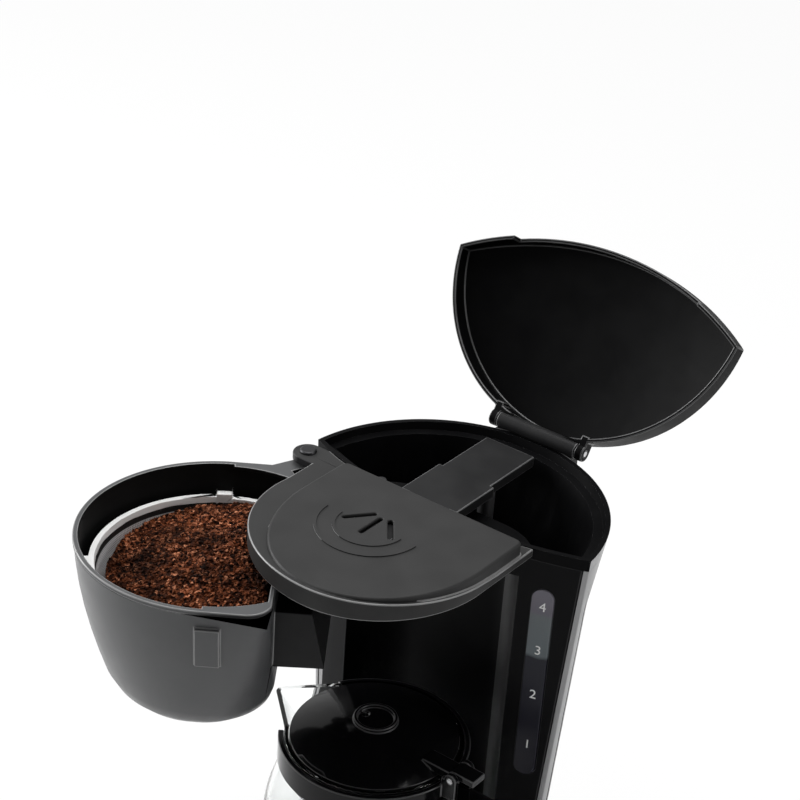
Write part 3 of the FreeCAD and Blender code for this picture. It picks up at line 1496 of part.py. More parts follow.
pieces = {
    "rear_shell": (make_rear_shell, as_modelled),
    "front_panel": (make_front_panel, as_modelled),
    "reservoir_tank": (make_tank, as_modelled),
    "water_window": (make_water_window, as_modelled),
    "window_seal": (make_window_seal, as_modelled),
    "water_duct": (make_water_duct, as_modelled),
    "head_cover": (make_head_cover, as_modelled),
    "head_floor": (make_head_floor, as_modelled),
    "spray_plate": (make_spray_plate, as_modelled),
    "mount_screws": (make_mount_screws, as_modelled),
    "swing_bracket": (make_swing_bracket, as_modelled),
    "swing_pin": (make_swing_pin, as_modelled),
    "lid_bracket": (make_lid_bracket, as_modelled),
    "lid_pin": (make_lid_pin, as_modelled),
    "base_housing": (make_base_housing, as_modelled),
    "bottom_cover": (make_bottom_cover, as_modelled),
    "feet": (make_feet, as_modelled),
    "bottom_screws": (make_bottom_screws, as_modelled),
    "switch_bezel": (make_switch_bezel, as_modelled),
    "pilot_lens": (make_pilot_lens, as_modelled),
    "cord_gland": (make_cord_gland, as_modelled),
    "terminal_block": (make_terminal_block, as_modelled),
    "hot_plate": (make_hot_plate, as_modelled),
    "plate_seal": (make_plate_seal, as_modelled),
    "heater_tube": (make_heater_tube, as_modelled),
    "heater_clamp": (make_heater_clamp, as_modelled),
    "clamp_screw": (make_clamp_screw, as_modelled),
    "thermostat": (make_thermostat, as_modelled),
    "thermal_fuse": (make_thermal_fuse, as_modelled),
    "inlet_hose": (make_inlet_hose, as_modelled),
    "outlet_hose": (make_outlet_hose, as_modelled),
    "hose_clips": (make_hose_clips, as_modelled),
    "check_valve": (make_check_valve, as_modelled),
    "riser_tube": (make_riser_tube, as_modelled),
    "riser_seal": (make_riser_seal, as_modelled),
    "lid_shell": (make_lid_shell, lid_opened),
    "basket_bowl": (make_basket_bowl, basket_swung),
    "filter_ring": (make_filter_ring, basket_swung),
    "filter_mesh": (make_filter_mesh, basket_swung),
    "valve_cage": (make_valve_cage, basket_swung),
    "valve_stem": (make_valve_stem, basket_swung),
    "valve_seal": (make_valve_seal, basket_swung),
    "valve_spring": (make_valve_spring, basket_swung),
    "switch_rocker": (make_switch_rocker, rocker_off),
    "carafe_glass": (make_carafe_glass, as_modelled),
    "carafe_collar": (make_carafe_collar, as_modelled),
    "carafe_handle": (make_carafe_handle, as_modelled),
    "band_screw": (make_band_screw, as_modelled),
    "carafe_lid": (make_carafe_lid, as_modelled),
    "carafe_lid_pin": (make_carafe_lid_pin, as_modelled),
}

os.makedirs("parts", exist_ok=True)
shapes = {name: pose(make()) for name, (make, pose) in pieces.items()}
whole = Part.makeCompound(list(shapes.values())).optimalBoundingBox(False, False)
shift = V(-(whole.XMin + whole.XMax) / 2, -(whole.YMin + whole.YMax) / 2, -whole.ZMin)
print("shift", shift)
for name, shape in shapes.items():
    shape.translate(shift)
    print(name, shape.ShapeType, len(shape.Solids), round(shape.Volume), shape.isValid())
    shape.exportStep("parts/" + name + ".step")
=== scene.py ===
import bpy
import bmesh
import math
import random
from mathutils import Matrix, Vector, noise


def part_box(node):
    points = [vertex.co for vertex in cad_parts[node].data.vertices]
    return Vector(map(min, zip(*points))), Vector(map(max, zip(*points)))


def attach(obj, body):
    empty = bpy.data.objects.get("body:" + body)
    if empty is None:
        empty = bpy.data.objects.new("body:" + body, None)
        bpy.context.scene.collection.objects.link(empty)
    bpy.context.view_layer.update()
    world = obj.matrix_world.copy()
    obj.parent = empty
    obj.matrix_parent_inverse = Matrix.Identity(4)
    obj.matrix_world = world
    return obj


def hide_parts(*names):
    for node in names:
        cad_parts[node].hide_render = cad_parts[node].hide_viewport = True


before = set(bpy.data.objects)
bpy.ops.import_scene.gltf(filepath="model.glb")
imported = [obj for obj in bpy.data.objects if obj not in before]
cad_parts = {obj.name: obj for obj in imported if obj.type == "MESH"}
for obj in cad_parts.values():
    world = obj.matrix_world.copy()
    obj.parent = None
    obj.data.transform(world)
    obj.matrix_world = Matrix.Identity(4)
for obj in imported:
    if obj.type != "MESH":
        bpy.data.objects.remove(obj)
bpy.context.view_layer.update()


# Camera where the photographer stood: above the machine's front right corner, with a long lens,
# the machine's top leaning a little to the right in the frame.
def put(name, data):
    """New object in the scene, at the origin."""
    thing = bpy.data.objects.new(name, data)
    bpy.context.scene.collection.objects.link(thing)
    return thing


camera_place = (0.523475, -0.742494, 0.78482)
azimuth, elevation, roll = (math.radians(a) for a in (35.383, 29.015, 4.041))
back = Vector((math.sin(azimuth) * math.cos(elevation), -math.cos(azimuth) * math.cos(elevation),
               math.sin(elevation)))
level = Vector((math.cos(azimuth), math.sin(azimuth), 0))
upright = back.cross(level)
right = level * math.cos(roll) + upright * math.sin(roll)
up = upright * math.cos(roll) - level * math.sin(roll)
camera = put("camera", bpy.data.cameras.new("camera"))
camera.matrix_world = (Matrix.Translation(camera_place)
                       @ Matrix((right, up, back)).transposed().to_4x4())
camera.data.lens = 94.396
camera.data.sensor_width = 36
camera.data.clip_start = 0.05
bpy.context.scene.camera = camera


# Studio: a white surround that the camera and the glass see. The pieces themselves are filled
# from a wall that is bright on the left and dim on the right. Soft boxes stand on the left,
# overhead and behind on the right.
def add(nodes, kind, values=(), **settings):
    """New shader node with its settings and the constant values of its sockets."""
    node = nodes.new("ShaderNode" + kind)
    for setting, value in settings.items():
        setattr(node, setting, value)
    for socket, value in dict(values).items():
        node.inputs[socket].default_value = value
    return node


white = (1, 1, 1, 1)
bpy.context.scene.view_settings.view_transform = "Standard"
world = bpy.data.worlds.new("studio")
bpy.context.scene.world = world
world.use_nodes = True
nodes, links = world.node_tree.nodes, world.node_tree.links
fill = nodes["Background"]
fill.inputs["Color"].default_value = white
place = add(nodes, "TexCoord")
axes = add(nodes, "SeparateXYZ")
links.new(place.outputs["Generated"], axes.inputs[0])
wall = add(nodes, "MapRange", {"From Min": 0.3, "From Max": -0.8, "To Min": 0.12, "To Max": 0.9})
links.new(axes.outputs["X"], wall.inputs["Value"])
links.new(wall.outputs[0], fill.inputs["Strength"])
surround = add(nodes, "Background", {"Color": white})
ray = add(nodes, "LightPath")
seen = add(nodes, "Math", operation="MAXIMUM")
links.new(ray.outputs["Is Camera Ray"], seen.inputs[0])
links.new(ray.outputs["Is Transmission Ray"], seen.inputs[1])
either = add(nodes, "MixShader")
links.new(seen.outputs[0], either.inputs["Fac"])
links.new(fill.outputs[0], either.inputs[1])
links.new(surround.outputs[0], either.inputs[2])
links.new(either.outputs[0], nodes["World Output"].inputs["Surface"])


def softbox(name, place, aim, width, height, power):
    """Rectangular lamp at a place, turned to its aim."""
    lamp = bpy.data.lights.new(name, "AREA")
    lamp.shape = "RECTANGLE"
    lamp.size = width
    lamp.size_y = height
    lamp.energy = power
    aimed = (Vector(aim) - Vector(place)).to_track_quat("-Z", "Y").to_matrix().to_4x4()
    put(name, lamp).matrix_world = Matrix.Translation(place) @ aimed


softbox("left_box", (-1.35, -0.35, 0.8), (0, 0, 0.16), 0.7, 0.9, 24)
softbox("top_box", (-0.1, 0.25, 1.5), (0, 0, 0.2), 0.9, 0.9, 14)
softbox("right_box", (1.1, 0.35, 0.75), (0.05, 0, 0.16), 0.4, 0.9, 5)


# Floor: one sheet of pale matt paper, far larger than the view. To the camera it glows almost
# white, so only a trace of the machine's soft shadow is left on it.
def painted(name):
    """New material with its nodes, links and main shader."""
    material = bpy.data.materials.new(name)
    material.use_nodes = True
    tree = material.node_tree
    return material, tree.nodes, tree.links, tree.nodes["Principled BSDF"]


def finished(bm, name, material):
    """Object with the mesh that was built, in one material."""
    mesh = bpy.data.meshes.new(name)
    bm.to_mesh(mesh)
    bm.free()
    mesh.materials.append(material)
    return put(name, mesh)


glow_share = 0.92
paper, nodes, links, matt = painted("floor_paper")
matt.inputs["Base Color"].default_value = (0.82, 0.82, 0.82, 1)
matt.inputs["Roughness"].default_value = 0.9
matt.inputs["Specular IOR Level"].default_value = 0.1
glow = add(nodes, "Emission")
ray = add(nodes, "LightPath")
share = add(nodes, "Math", {1: glow_share}, operation="MULTIPLY")
links.new(ray.outputs["Is Camera Ray"], share.inputs[0])
either = add(nodes, "MixShader")
links.new(share.outputs[0], either.inputs["Fac"])
links.new(matt.outputs[0], either.inputs[1])
links.new(glow.outputs[0], either.inputs[2])
links.new(either.outputs[0], nodes["Material Output"].inputs["Surface"])
bm = bmesh.new()
bmesh.ops.create_grid(bm, x_segments=1, y_segments=1, size=6)
floor = finished(bm, "floor", paper)


# Base housing and its bottom cover: two black injection mouldings, a skirt round the warming
# plate and a flat lid screwed on from below. The visible skin has a fine spark-eroded grain.
def ramp(nodes, *stops):
    """Colour ramp through stops of position and colour, the first two in its own elements."""
    tone = nodes.new("ShaderNodeValToRGB")
    elements = tone.color_ramp.elements
    for element, (position, colour) in zip((elements[0], elements[1]), stops):
        element.position = position
        element.color = (*colour, 1)
    for position, colour in stops[2:]:
        elements.new(position).color = (*colour, 1)
    return tone


def moulded(name, light, dark, rough, specular, grain=1400, depth=0.03, coat=0.0):
    """Moulded plastic: two close shades in soft clouds, a fine grain and a wandering sheen."""
    material, nodes, links, shader = painted(name)
    shader.inputs["Specular IOR Level"].default_value = specular
    shader.inputs["Coat Weight"].default_value = coat
    shader.inputs["Coat Roughness"].default_value = 0.06
    place = add(nodes, "TexCoord")
    clouds = add(nodes, "TexNoise", {"Scale": 55, "Detail": 5})
    links.new(place.outputs["Object"], clouds.inputs["Vector"])
    tone = ramp(nodes, (0.35, dark), (0.65, light))
    links.new(clouds.outputs["Fac"], tone.inputs["Fac"])
    links.new(tone.outputs["Color"], shader.inputs["Base Color"])
    sheen = add(nodes, "MapRange", {"From Min": 0.3, "From Max": 0.7,
                                    "To Min": rough - 0.04, "To Max": rough + 0.05})
    links.new(clouds.outputs["Fac"], sheen.inputs["Value"])
    links.new(sheen.outputs[0], shader.inputs["Roughness"])
    pits = add(nodes, "TexNoise", {"Scale": grain, "Detail": 2})
    links.new(place.outputs["Object"], pits.inputs["Vector"])
    skin = add(nodes, "Bump", {"Strength": depth, "Distance": 0.0005})
    links.new(pits.outputs["Fac"], skin.inputs["Height"])
    links.new(skin.outputs[0], shader.inputs["Normal"])
    return material


weld = 2e-6
flat_angle, crease_angle, sharp_angle = (math.radians(a) for a in (1.5, 32, 40))
room = 2.2


def softened(node, body, material, width=0.0005, edge_highlight=None, clamp=False):
    """Copy of a CAD piece, its sharp edges rounded where both faces have room, as in a mould; when
    a second material is given, the rounded edges take it as a painted highlight.
    """
    bm = bmesh.new()
    bm.from_mesh(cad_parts[node].data)
    bmesh.ops.remove_doubles(bm, verts=bm.verts, dist=weld)
    bmesh.ops.dissolve_limit(bm, angle_limit=flat_angle, verts=bm.verts, edges=bm.edges)
    creases = [e for e in bm.edges
               if len(e.link_faces) == 2 and e.calc_face_angle(0) > crease_angle
               and min(f.calc_area() for f in e.link_faces) > room * width * e.calc_length()]
    made = bmesh.ops.bevel(bm, geom=creases, offset=width, offset_type="OFFSET", affect="EDGES",
                           segments=2, profile=0.5, material=-1, clamp_overlap=clamp)
    for face in bm.faces:
        face.material_index = 0
        face.smooth = True
    if edge_highlight:
        # Painted highlight: the faces of the rounded edges take the second, lighter material.
        for face in made["faces"]:
            face.material_index = 1
    piece = finished(bm, node + "_moulding", material)
    if edge_highlight:
        piece.data.materials.append(edge_highlight)
    piece.data.set_sharp_from_angle(angle=sharp_angle)
    shading = piece.modifiers.new("even_shading", "WEIGHTED_NORMAL")
    shading.keep_sharp = True
    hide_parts(node)
    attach(piece, body)
    return piece


def repaint(piece, material, chosen):
    """Another finish on the faces that a test of middle and normal picks."""
    piece.data.materials.append(material)
    for face in piece.data.polygons:
        if chosen(face.center, face.normal):
            face.material_index = len(piece.data.materials) - 1


black_skin = moulded("black_skin", (0.013, 0.013, 0.014), (0.009, 0.009, 0.010), 0.42, 0.22)
# Painted highlight: a lighter black for the rounded edges of black mouldings.
black_highlight = moulded("black_highlight", (0.05, 0.05, 0.052), (0.035, 0.035, 0.036), 0.3, 0.5)
softened("base_housing", "machine", black_skin, 0.0009, black_highlight)
softened("bottom_cover", "machine", black_skin, 0.0004)


# Feet and bottom screws: four soft rubber pads glued under the cover, and four plated screws
# with cross heads. Rubber is dusty and matt, the screws are turned steel.
def dressed(node, material):
    """A CAD piece shown as it is, in a material of its own."""
    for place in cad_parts[node].material_slots:
        place.material = material


def turned(name, light, dark, rough, streak=(40, 40, 900)):
    """Bare metal with fine drawing lines, a little uneven in shade and polish."""
    material, nodes, links, shader = painted(name)
    shader.inputs["Metallic"].default_value = 1
    place = add(nodes, "TexCoord")
    along = add(nodes, "Mapping", {"Scale": streak})
    links.new(place.outputs["Object"], along.inputs["Vector"])
    lines = add(nodes, "TexNoise", {"Scale": 1, "Detail": 6})
    links.new(along.outputs[0], lines.inputs["Vector"])
    tone = ramp(nodes, (0.3, dark), (0.7, light))
    links.new(lines.outputs["Fac"], tone.inputs["Fac"])
    links.new(tone.outputs["Color"], shader.inputs["Base Color"])
    polish = add(nodes, "MapRange", {"To Min": rough - 0.08, "To Max": rough + 0.08})
    links.new(lines.outputs["Fac"], polish.inputs["Value"])
    links.new(polish.outputs[0], shader.inputs["Roughness"])
    return material


black_rubber = moulded("black_rubber", (0.022, 0.022, 0.022), (0.014, 0.014, 0.014), 0.8, 0.2,
                       700, 0.08)
plated_steel = turned("plated_steel", (0.62, 0.62, 0.63), (0.48, 0.48, 0.49), 0.28)
softened("feet", "machine", black_rubber, 0.0006)
dressed("bottom_screws", plated_steel)

# Switch and pilot lamp: a glossy black bezel snapped into the base's flat front, a rocker that
# tilts in it on two stub pins, and beside it a round amber lens, clear plastic over a small lamp.
piano_black = moulded("piano_black", (0.004, 0.004, 0.0045), (0.003, 0.003, 0.0035), 0.1, 0.16,
                      500, 0.006)
amber_lens = moulded("amber_lens", (0.75, 0.2, 0.03), (0.55, 0.12, 0.015), 0.15, 0.5,
                     300, 0.01, 0.5)
lens_shader = amber_lens.node_tree.nodes["Principled BSDF"]
lens_shader.inputs["Transmission Weight"].default_value = 0.35
softened("switch_bezel", "machine", piano_black, 0.0004, black_highlight)
softened("switch_rocker", "switch", piano_black, 0.0005, black_highlight)
dressed("pilot_lens", amber_lens)

# Cord gland and terminal block: a rubber grommet pressed into the rear wall and a cream block
# behind it on two pins.
cream_nylon = moulded("cream_nylon", (0.72, 0.69, 0.6), (0.62, 0.59, 0.5), 0.5, 0.4)
softened("cord_gland", "machine", black_rubber, 0.0005)
dressed("terminal_block", cream_nylon)

# Warming plate: a pressed steel dish with a baked non-stick coat that looks like fine orange
# peel, sitting on a rubber ring in the base's round opening.
plate_coat = moulded("plate_coat", (0.02, 0.02, 0.021), (0.012, 0.012, 0.013), 0.34, 0.45,
                     600, 0.12)
softened("hot_plate", "machine", plate_coat, 0.0006, black_highlight)
dressed("plate_seal", black_rubber)

# Heater under the plate: a bent aluminium tube held by a strap and one screw, with its
# thermostat and fuse, and the milky hoses that bring the tank's water in through a check valve
# and take it up to the riser.
drawn_tube = turned("drawn_tube", (0.7, 0.7, 0.72), (0.55, 0.55, 0.57), 0.38, (300, 300, 30))
milky_rubber = moulded("milky_rubber", (0.62, 0.6, 0.55), (0.5, 0.48, 0.43), 0.6, 0.3, 400, 0.05)
fuse_glaze = moulded("fuse_glaze", (0.8, 0.79, 0.75), (0.7, 0.69, 0.65), 0.3, 0.5)
for node in ("heater_tube", "riser_tube"):
    dressed(node, drawn_tube)
for node in ("heater_clamp", "clamp_screw", "thermostat", "hose_clips"):
    dressed(node, plated_steel)
for node in ("inlet_hose", "outlet_hose", "riser_seal"):
    dressed(node, milky_rubber)
dressed("thermal_fuse", fuse_glaze)
dressed("check_valve", cream_nylon)

# Rear shell: one wrap of thin plastic round the back and sides, sprayed with a satin silver
# lacquer that holds fine flakes. It clips over the tank and stands in the base.
silver_lacquer = moulded("silver_lacquer", (0.29, 0.29, 0.295), (0.283, 0.283, 0.288), 0.4, 0.4,
                         3200, 0.03)
silver_lacquer.node_tree.nodes["Principled BSDF"].inputs["Metallic"].default_value = 0.2
softened("rear_shell", "machine", silver_lacquer, 0.0005)

# Front panel: a black moulding with the bay for the carafe and the slot for the water gauge,
# held by the head's tongues and screws. Its satin skin is nearly without shine; the bay's right
# wall is painted lighter and shinier where light falls on it, the rounded edges take a lighter
# black as a painted highlight, and a silver border runs down its left edge.
border_width = 0.012
bay_right = 0.04
panel_skin = moulded("panel_skin", (0.0045, 0.0045, 0.005), (0.003, 0.003, 0.0035), 0.46, 0.06)
panel_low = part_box("front_panel")[0]
nodes, links = panel_skin.node_tree.nodes, panel_skin.node_tree.links
axes = add(nodes, "SeparateXYZ")
links.new(nodes["Texture Coordinate"].outputs["Object"], axes.inputs[0])
border = add(nodes, "Math", {1: panel_low.x + border_width}, operation="LESS_THAN")
links.new(axes.outputs["X"], border.inputs[0])
lacquered = add(nodes, "Mix", {"B": (0.3, 0.3, 0.305, 1)}, data_type="RGBA")
links.new(border.outputs[0], lacquered.inputs["Factor"])
links.new(nodes["Color Ramp"].outputs["Color"], lacquered.inputs["A"])
links.new(lacquered.outputs["Result"], nodes["Principled BSDF"].inputs["Base Color"])
panel = softened("front_panel", "machine", panel_skin, 0.0006, black_skin)
# Painted light: a lighter, shinier skin for the bay's right wall, where light falls on it.
bay_painted_light = moulded("bay_painted_light", (0.04, 0.04, 0.041), (0.03, 0.03, 0.031), 0.4, 0.3)


def lit_bay_wall(middle, normal):
    return normal.x < -0.25 and middle.x > bay_right and normal.y < 0.2


repaint(panel, bay_painted_light, lit_bay_wall)

# Reservoir tank: a deep black tub with a rolled rim, seen from above through the open lid. Its
# rounded edges carry a painted highlight in a lighter grey, and the rim's outer sides match the
# shell.
rim_band = 0.0062
tank_skin = moulded("tank_skin", (0.003, 0.003, 0.0033), (0.002, 0.002, 0.0023), 0.45, 0.04)
# Painted highlight: a lighter grey for rounded edges of the tank and the lid's bracket.
grey_highlight = moulded("grey_highlight", (0.12, 0.12, 0.122), (0.08, 0.08, 0.082), 0.34, 0.5)
tank = softened("reservoir_tank", "machine", tank_skin, 0.0005, grey_highlight, True)
tank_low, tank_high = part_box("reservoir_tank")
tank_middle = (tank_low + tank_high) / 2


def rim_side(middle, normal):
    outward = normal.x * (middle.x - tank_middle.x) + normal.y * (middle.y - tank_middle.y)
    return (middle.z > tank_high.z - rim_band and abs(normal.z) < 0.6
            and normal.y > -0.8 and outward > 0.01)


repaint(tank, silver_lacquer, rim_side)

# Water gauge: a long smoke-tinted window with round ends, sealed into the panel. Its upper part
# is painted light, as light from the open tank stands behind it, the lower part painted dark, as
# the dark stands behind it, and plain white cup numbers are printed on it.
tint_low, tint_high = 0.094, 0.212
gauge_tint, nodes, links, shader = painted("gauge_tint")
shader.inputs["Specular IOR Level"].default_value = 0.12
place = add(nodes, "TexCoord")
axes = add(nodes, "SeparateXYZ")
links.new(place.outputs["Object"], axes.inputs[0])
height = add(nodes, "MapRange", {"From Min": tint_low, "From Max": tint_high})
links.new(axes.outputs["Z"], height.inputs["Value"])
haze = add(nodes, "TexNoise", {"Scale": 180})
links.new(place.outputs["Object"], haze.inputs["Vector"])
shift = add(nodes, "Math", {1: 0.02}, operation="MULTIPLY_ADD")
links.new(haze.outputs["Fac"], shift.inputs[0])
links.new(height.outputs[0], shift.inputs[2])
painted_light_zones = ramp(nodes, (0.0, (0.013, 0.0125, 0.019)), (0.645, (0.018, 0.0185, 0.026)),
             (0.665, (0.12, 0.14, 0.15)), (0.86, (0.135, 0.15, 0.158)),
             (0.88, (0.14, 0.133, 0.158)), (1.0, (0.17, 0.162, 0.19)))
links.new(shift.outputs[0], painted_light_zones.inputs["Fac"])
links.new(painted_light_zones.outputs["Color"], shader.inputs["Base Color"])
cloud = add(nodes, "MapRange", {"To Min": 0.18, "To Max": 0.3})
links.new(haze.outputs["Fac"], cloud.inputs["Value"])
links.new(cloud.outputs[0], shader.inputs["Roughness"])
window = softened("water_window", "machine", gauge_tint, 0.0004)
dressed("window_seal", black_rubber)
white_ink = moulded("white_ink", (0.85, 0.85, 0.84), (0.74, 0.74, 0.73), 0.5, 0.3, 900, 0.05)
bpy.context.view_layer.update()
window_low, window_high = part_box("water_window")
number_size, number_aside = 0.0075, 0.0006
ink_half, ink_lift = 0.00006, 0.00005
ahead = -0.2
for number, level_z in (("4", 0.2), ("3", 0.174), ("2", 0.147), ("1", 0.1155)):
    spot = Vector(((window_low.x + window_high.x) / 2 + number_aside, ahead, level_z))
    touch, normal = window.ray_cast(spot, Vector((0, 1, 0)))[1:3]
    words = bpy.data.curves.new("cup_number_" + number, "FONT")
    words.body = number
    words.size = number_size
    words.align_x = "CENTER"
    words.align_y = "CENTER"
    words.extrude = ink_half
    draft = put("draft", words)
    depsgraph = bpy.context.evaluated_depsgraph_get()
    print_mesh = bpy.data.meshes.new_from_object(draft.evaluated_get(depsgraph))
    bpy.data.objects.remove(draft)
    facing = normal.to_track_quat("Z", "Y").to_matrix().to_4x4()
    print_mesh.transform(Matrix.Translation(touch + normal * ink_lift) @ facing)
    print_mesh.materials.clear()
    print_mesh.materials.append(white_ink)
    printed = put("cup_number_" + number, print_mesh)
    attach(printed, "machine")

# Water duct: a flat black channel over the tank that carries the hot water forward from the
# riser to the head, in one moulding with square edges.
duct_skin = moulded("duct_skin", (0.016, 0.016, 0.0165), (0.012, 0.012, 0.0125), 0.42, 0.1)
# Painted highlight: a lighter grey for the duct's rounded edges.
duct_highlight = moulded("duct_highlight", (0.11, 0.11, 0.112), (0.08, 0.08, 0.082), 0.34, 0.45)
softened("water_duct", "machine", duct_skin, 0.0006, duct_highlight)

# Head: a charcoal cover over the basket's place, its edges rounded by the mould, with three
# steam slots inside raised half rings and a black hinge ear at its rear left. A black floor
# closes it from below, with the round spray plate in the floor.
ear_width, ear_depth = 0.014, 0.024
vents, vents_radius = Vector((0.0189, -0.0334)), 0.028
ring_height = 0.0006
charcoal = moulded("charcoal", (0.030, 0.030, 0.030), (0.025, 0.025, 0.025), 0.46, 0.12)
# Painted highlight: a light grey for the rounded edges of charcoal mouldings.
charcoal_highlight = moulded("charcoal_highlight", (0.2, 0.2, 0.2), (0.15, 0.15, 0.15), 0.32, 0.5)
head = softened("head_cover", "machine", charcoal, 0.0007, charcoal_highlight)
head_low, head_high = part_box("head_cover")


def hinge_ear(middle, normal):
    return middle.x < head_low.x + ear_width and middle.y > head_high.y - ear_depth


def near_vents(middle, normal):
    return (middle.to_2d() - vents).length < vents_radius


def lit_ring_flank(middle, normal):
    return middle.z > head_high.z - ring_height and abs(normal.z) < 0.5 and normal.x < -0.3


repaint(head, black_skin, hinge_ear)
repaint(head, charcoal, near_vents)
# Painted highlight on the left-facing flanks of the raised half rings.
repaint(head, charcoal_highlight, lit_ring_flank)
softened("head_floor", "machine", black_skin, 0.0004)
softened("spray_plate", "machine", black_skin, 0.0003)

# Fixings and hinges of the tower: screws that hold head and panel, the basket's bracket with its
# black steel pin and cap, and the lid's bracket with its pin.
black_steel = turned("black_steel", (0.05, 0.05, 0.052), (0.03, 0.03, 0.032), 0.4)
dressed("mount_screws", black_steel)
softened("swing_bracket", "machine", charcoal, 0.0005, charcoal_highlight)
softened("swing_pin", "machine", black_steel, 0.0004)
# The lid bracket's rounded edges carry the same painted highlight.
softened("lid_bracket", "machine", duct_skin, 0.0006, grey_highlight)
dressed("lid_pin", plated_steel)

# Tank lid: a thin domed shell with a turned-down rim and two hinge knuckles, moulded in black.
# It stands open, with its dull inner side to the front.
lid_skin = moulded("lid_skin", (0.0024, 0.0024, 0.0026), (0.0016, 0.0016, 0.0018), 0.42, 0.04)
# Painted highlight: a lighter black for the lid's rounded edges.
lid_highlight = moulded("lid_highlight", (0.06, 0.06, 0.061), (0.04, 0.04, 0.041), 0.32, 0.45)
softened("lid_shell", "lid", lid_skin, 0.0007, lid_highlight)

# Filter basket: a deep bowl in charcoal plastic with a beaded rim and a black inside, a latch pad
# on its side, a tail that fills the bay, painted near-black as shade from the head, and the hinge
# knuckle it swings on. Its rounded edges carry a painted highlight.
inside_radius = 0.0735
tail_reach = 0.0335
swing = math.radians(55.5)
basket_rear = Vector((math.sin(swing), math.cos(swing), 0))
bowl_skin = moulded("bowl_skin", (0.062, 0.063, 0.065), (0.054, 0.055, 0.057), 0.38, 0.4)
bowl_inside = moulded("bowl_inside", (0.006, 0.006, 0.006), (0.004, 0.004, 0.004), 0.5, 0.06)
bowl = softened("basket_bowl", "basket", bowl_skin, 0.0006, charcoal_highlight)
cage_low, cage_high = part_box("valve_cage")
brew_axis = (cage_low + cage_high) / 2


def inner_wall(middle, normal):
    out = (middle - brew_axis).to_2d()
    return (abs(normal.z) < 0.6 and out.length < inside_radius
            and out.dot(normal.to_2d()) < -0.002)


def shaded_tail_face(middle, normal):
    return (middle - brew_axis).dot(basket_rear) > tail_reach


repaint(bowl, bowl_inside, inner_wall)
# Painted shade: the tail takes the duct's near-black skin for the head's shadow on it.
repaint(bowl, duct_skin, shaded_tail_face)

# Filter insert: a white ring that hangs in the bowl, and below it a basket of woven grey nylon,
# coloured black from about 3 mm under the ring upward.
weave_radius = 0.06
band_low, band_high = 0.0032, 0.0028
filter_white = moulded("filter_white", (0.93, 0.93, 0.92), (0.9, 0.9, 0.89), 0.4, 0.4)
softened("filter_ring", "basket", filter_white, 0.0004)
ring_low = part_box("filter_ring")[0]
nylon_weave, nodes, links, shader = painted("nylon_weave")
shader.inputs["Roughness"].default_value = 0.55
place = add(nodes, "TexCoord")
centred = add(nodes, "Mapping", {"Location": (-brew_axis.x, -brew_axis.y, 0)})
links.new(place.outputs["Object"], centred.inputs["Vector"])
axes = add(nodes, "SeparateXYZ")
links.new(centred.outputs[0], axes.inputs[0])
round_turn = add(nodes, "Math", operation="ARCTAN2")
links.new(axes.outputs["Y"], round_turn.inputs[0])
links.new(axes.outputs["X"], round_turn.inputs[1])
girth = add(nodes, "Math", {1: weave_radius}, operation="MULTIPLY")
links.new(round_turn.outputs[0], girth.inputs[0])
unrolled = add(nodes, "CombineXYZ")
links.new(girth.outputs[0], unrolled.inputs["X"])
links.new(axes.outputs["Z"], unrolled.inputs["Y"])
threads = add(nodes, "TexVoronoi", {"Scale": 900, "Randomness": 0.05}, distance="CHEBYCHEV")
links.new(unrolled.outputs[0], threads.inputs["Vector"])
hole = ramp(nodes, (0.2, (0.3, 0.3, 0.3)), (0.42, (0.75, 0.75, 0.76)))
links.new(threads.outputs["Distance"], hole.inputs["Fac"])
band = add(nodes, "MapRange", {"From Min": ring_low.z - band_low,
                               "From Max": ring_low.z - band_high})
links.new(axes.outputs["Z"], band.inputs["Value"])
blackened = add(nodes, "Mix", {"B": (0.004, 0.004, 0.004, 1)}, data_type="RGBA")
links.new(band.outputs[0], blackened.inputs["Factor"])
links.new(hole.outputs["Color"], blackened.inputs["A"])
links.new(blackened.outputs["Result"], shader.inputs["Base Color"])
relief = add(nodes, "Bump", {"Strength": 0.5, "Distance": 0.0004})
links.new(threads.outputs["Distance"], relief.inputs["Height"])
links.new(relief.outputs[0], shader.inputs["Normal"])
softened("filter_mesh", "basket", nylon_weave, 0.0002)

# Ground coffee: a loose heap in the filter, higher towards the head, with thousands of coarse
# grains on top, dark roast with redder chaff among them. The heap ends at the filter's flat rear.
coffee, nodes, links, shader = painted("ground_coffee")
shader.inputs["Specular IOR Level"].default_value = 0.06
shader.inputs["Roughness"].default_value = 0.75
place = add(nodes, "TexCoord")
crumbs = add(nodes, "TexVoronoi", {"Scale": 620})
links.new(place.outputs["Object"], crumbs.inputs["Vector"])
one = add(nodes, "SeparateColor")
links.new(crumbs.outputs["Color"], one.inputs[0])
roast = ramp(nodes, (0.0, (0.006, 0.0025, 0.0015)), (1.0, (0.36, 0.15, 0.08)),
             (0.25, (0.02, 0.0055, 0.0022)), (0.55, (0.06, 0.0165, 0.0065)),
             (0.85, (0.15, 0.045, 0.018)))
links.new(one.outputs[0], roast.inputs["Fac"])
patches = add(nodes, "TexNoise", {"Scale": 45})
links.new(place.outputs["Object"], patches.inputs["Vector"])
shade = add(nodes, "MapRange", {"From Min": 0.35, "From Max": 0.65,
                                "To Min": 0.35, "To Max": 1.6})
links.new(patches.outputs["Fac"], shade.inputs["Value"])
uneven = add(nodes, "VectorMath", operation="SCALE")
links.new(roast.outputs["Color"], uneven.inputs[0])
links.new(shade.outputs[0], uneven.inputs["Scale"])
links.new(uneven.outputs[0], shader.inputs["Base Color"])
rough_bits = add(nodes, "Bump", {"Strength": 0.8, "Distance": 0.0006})
links.new(crumbs.outputs["Distance"], rough_bits.inputs["Height"])
links.new(rough_bits.outputs[0], shader.inputs["Normal"])
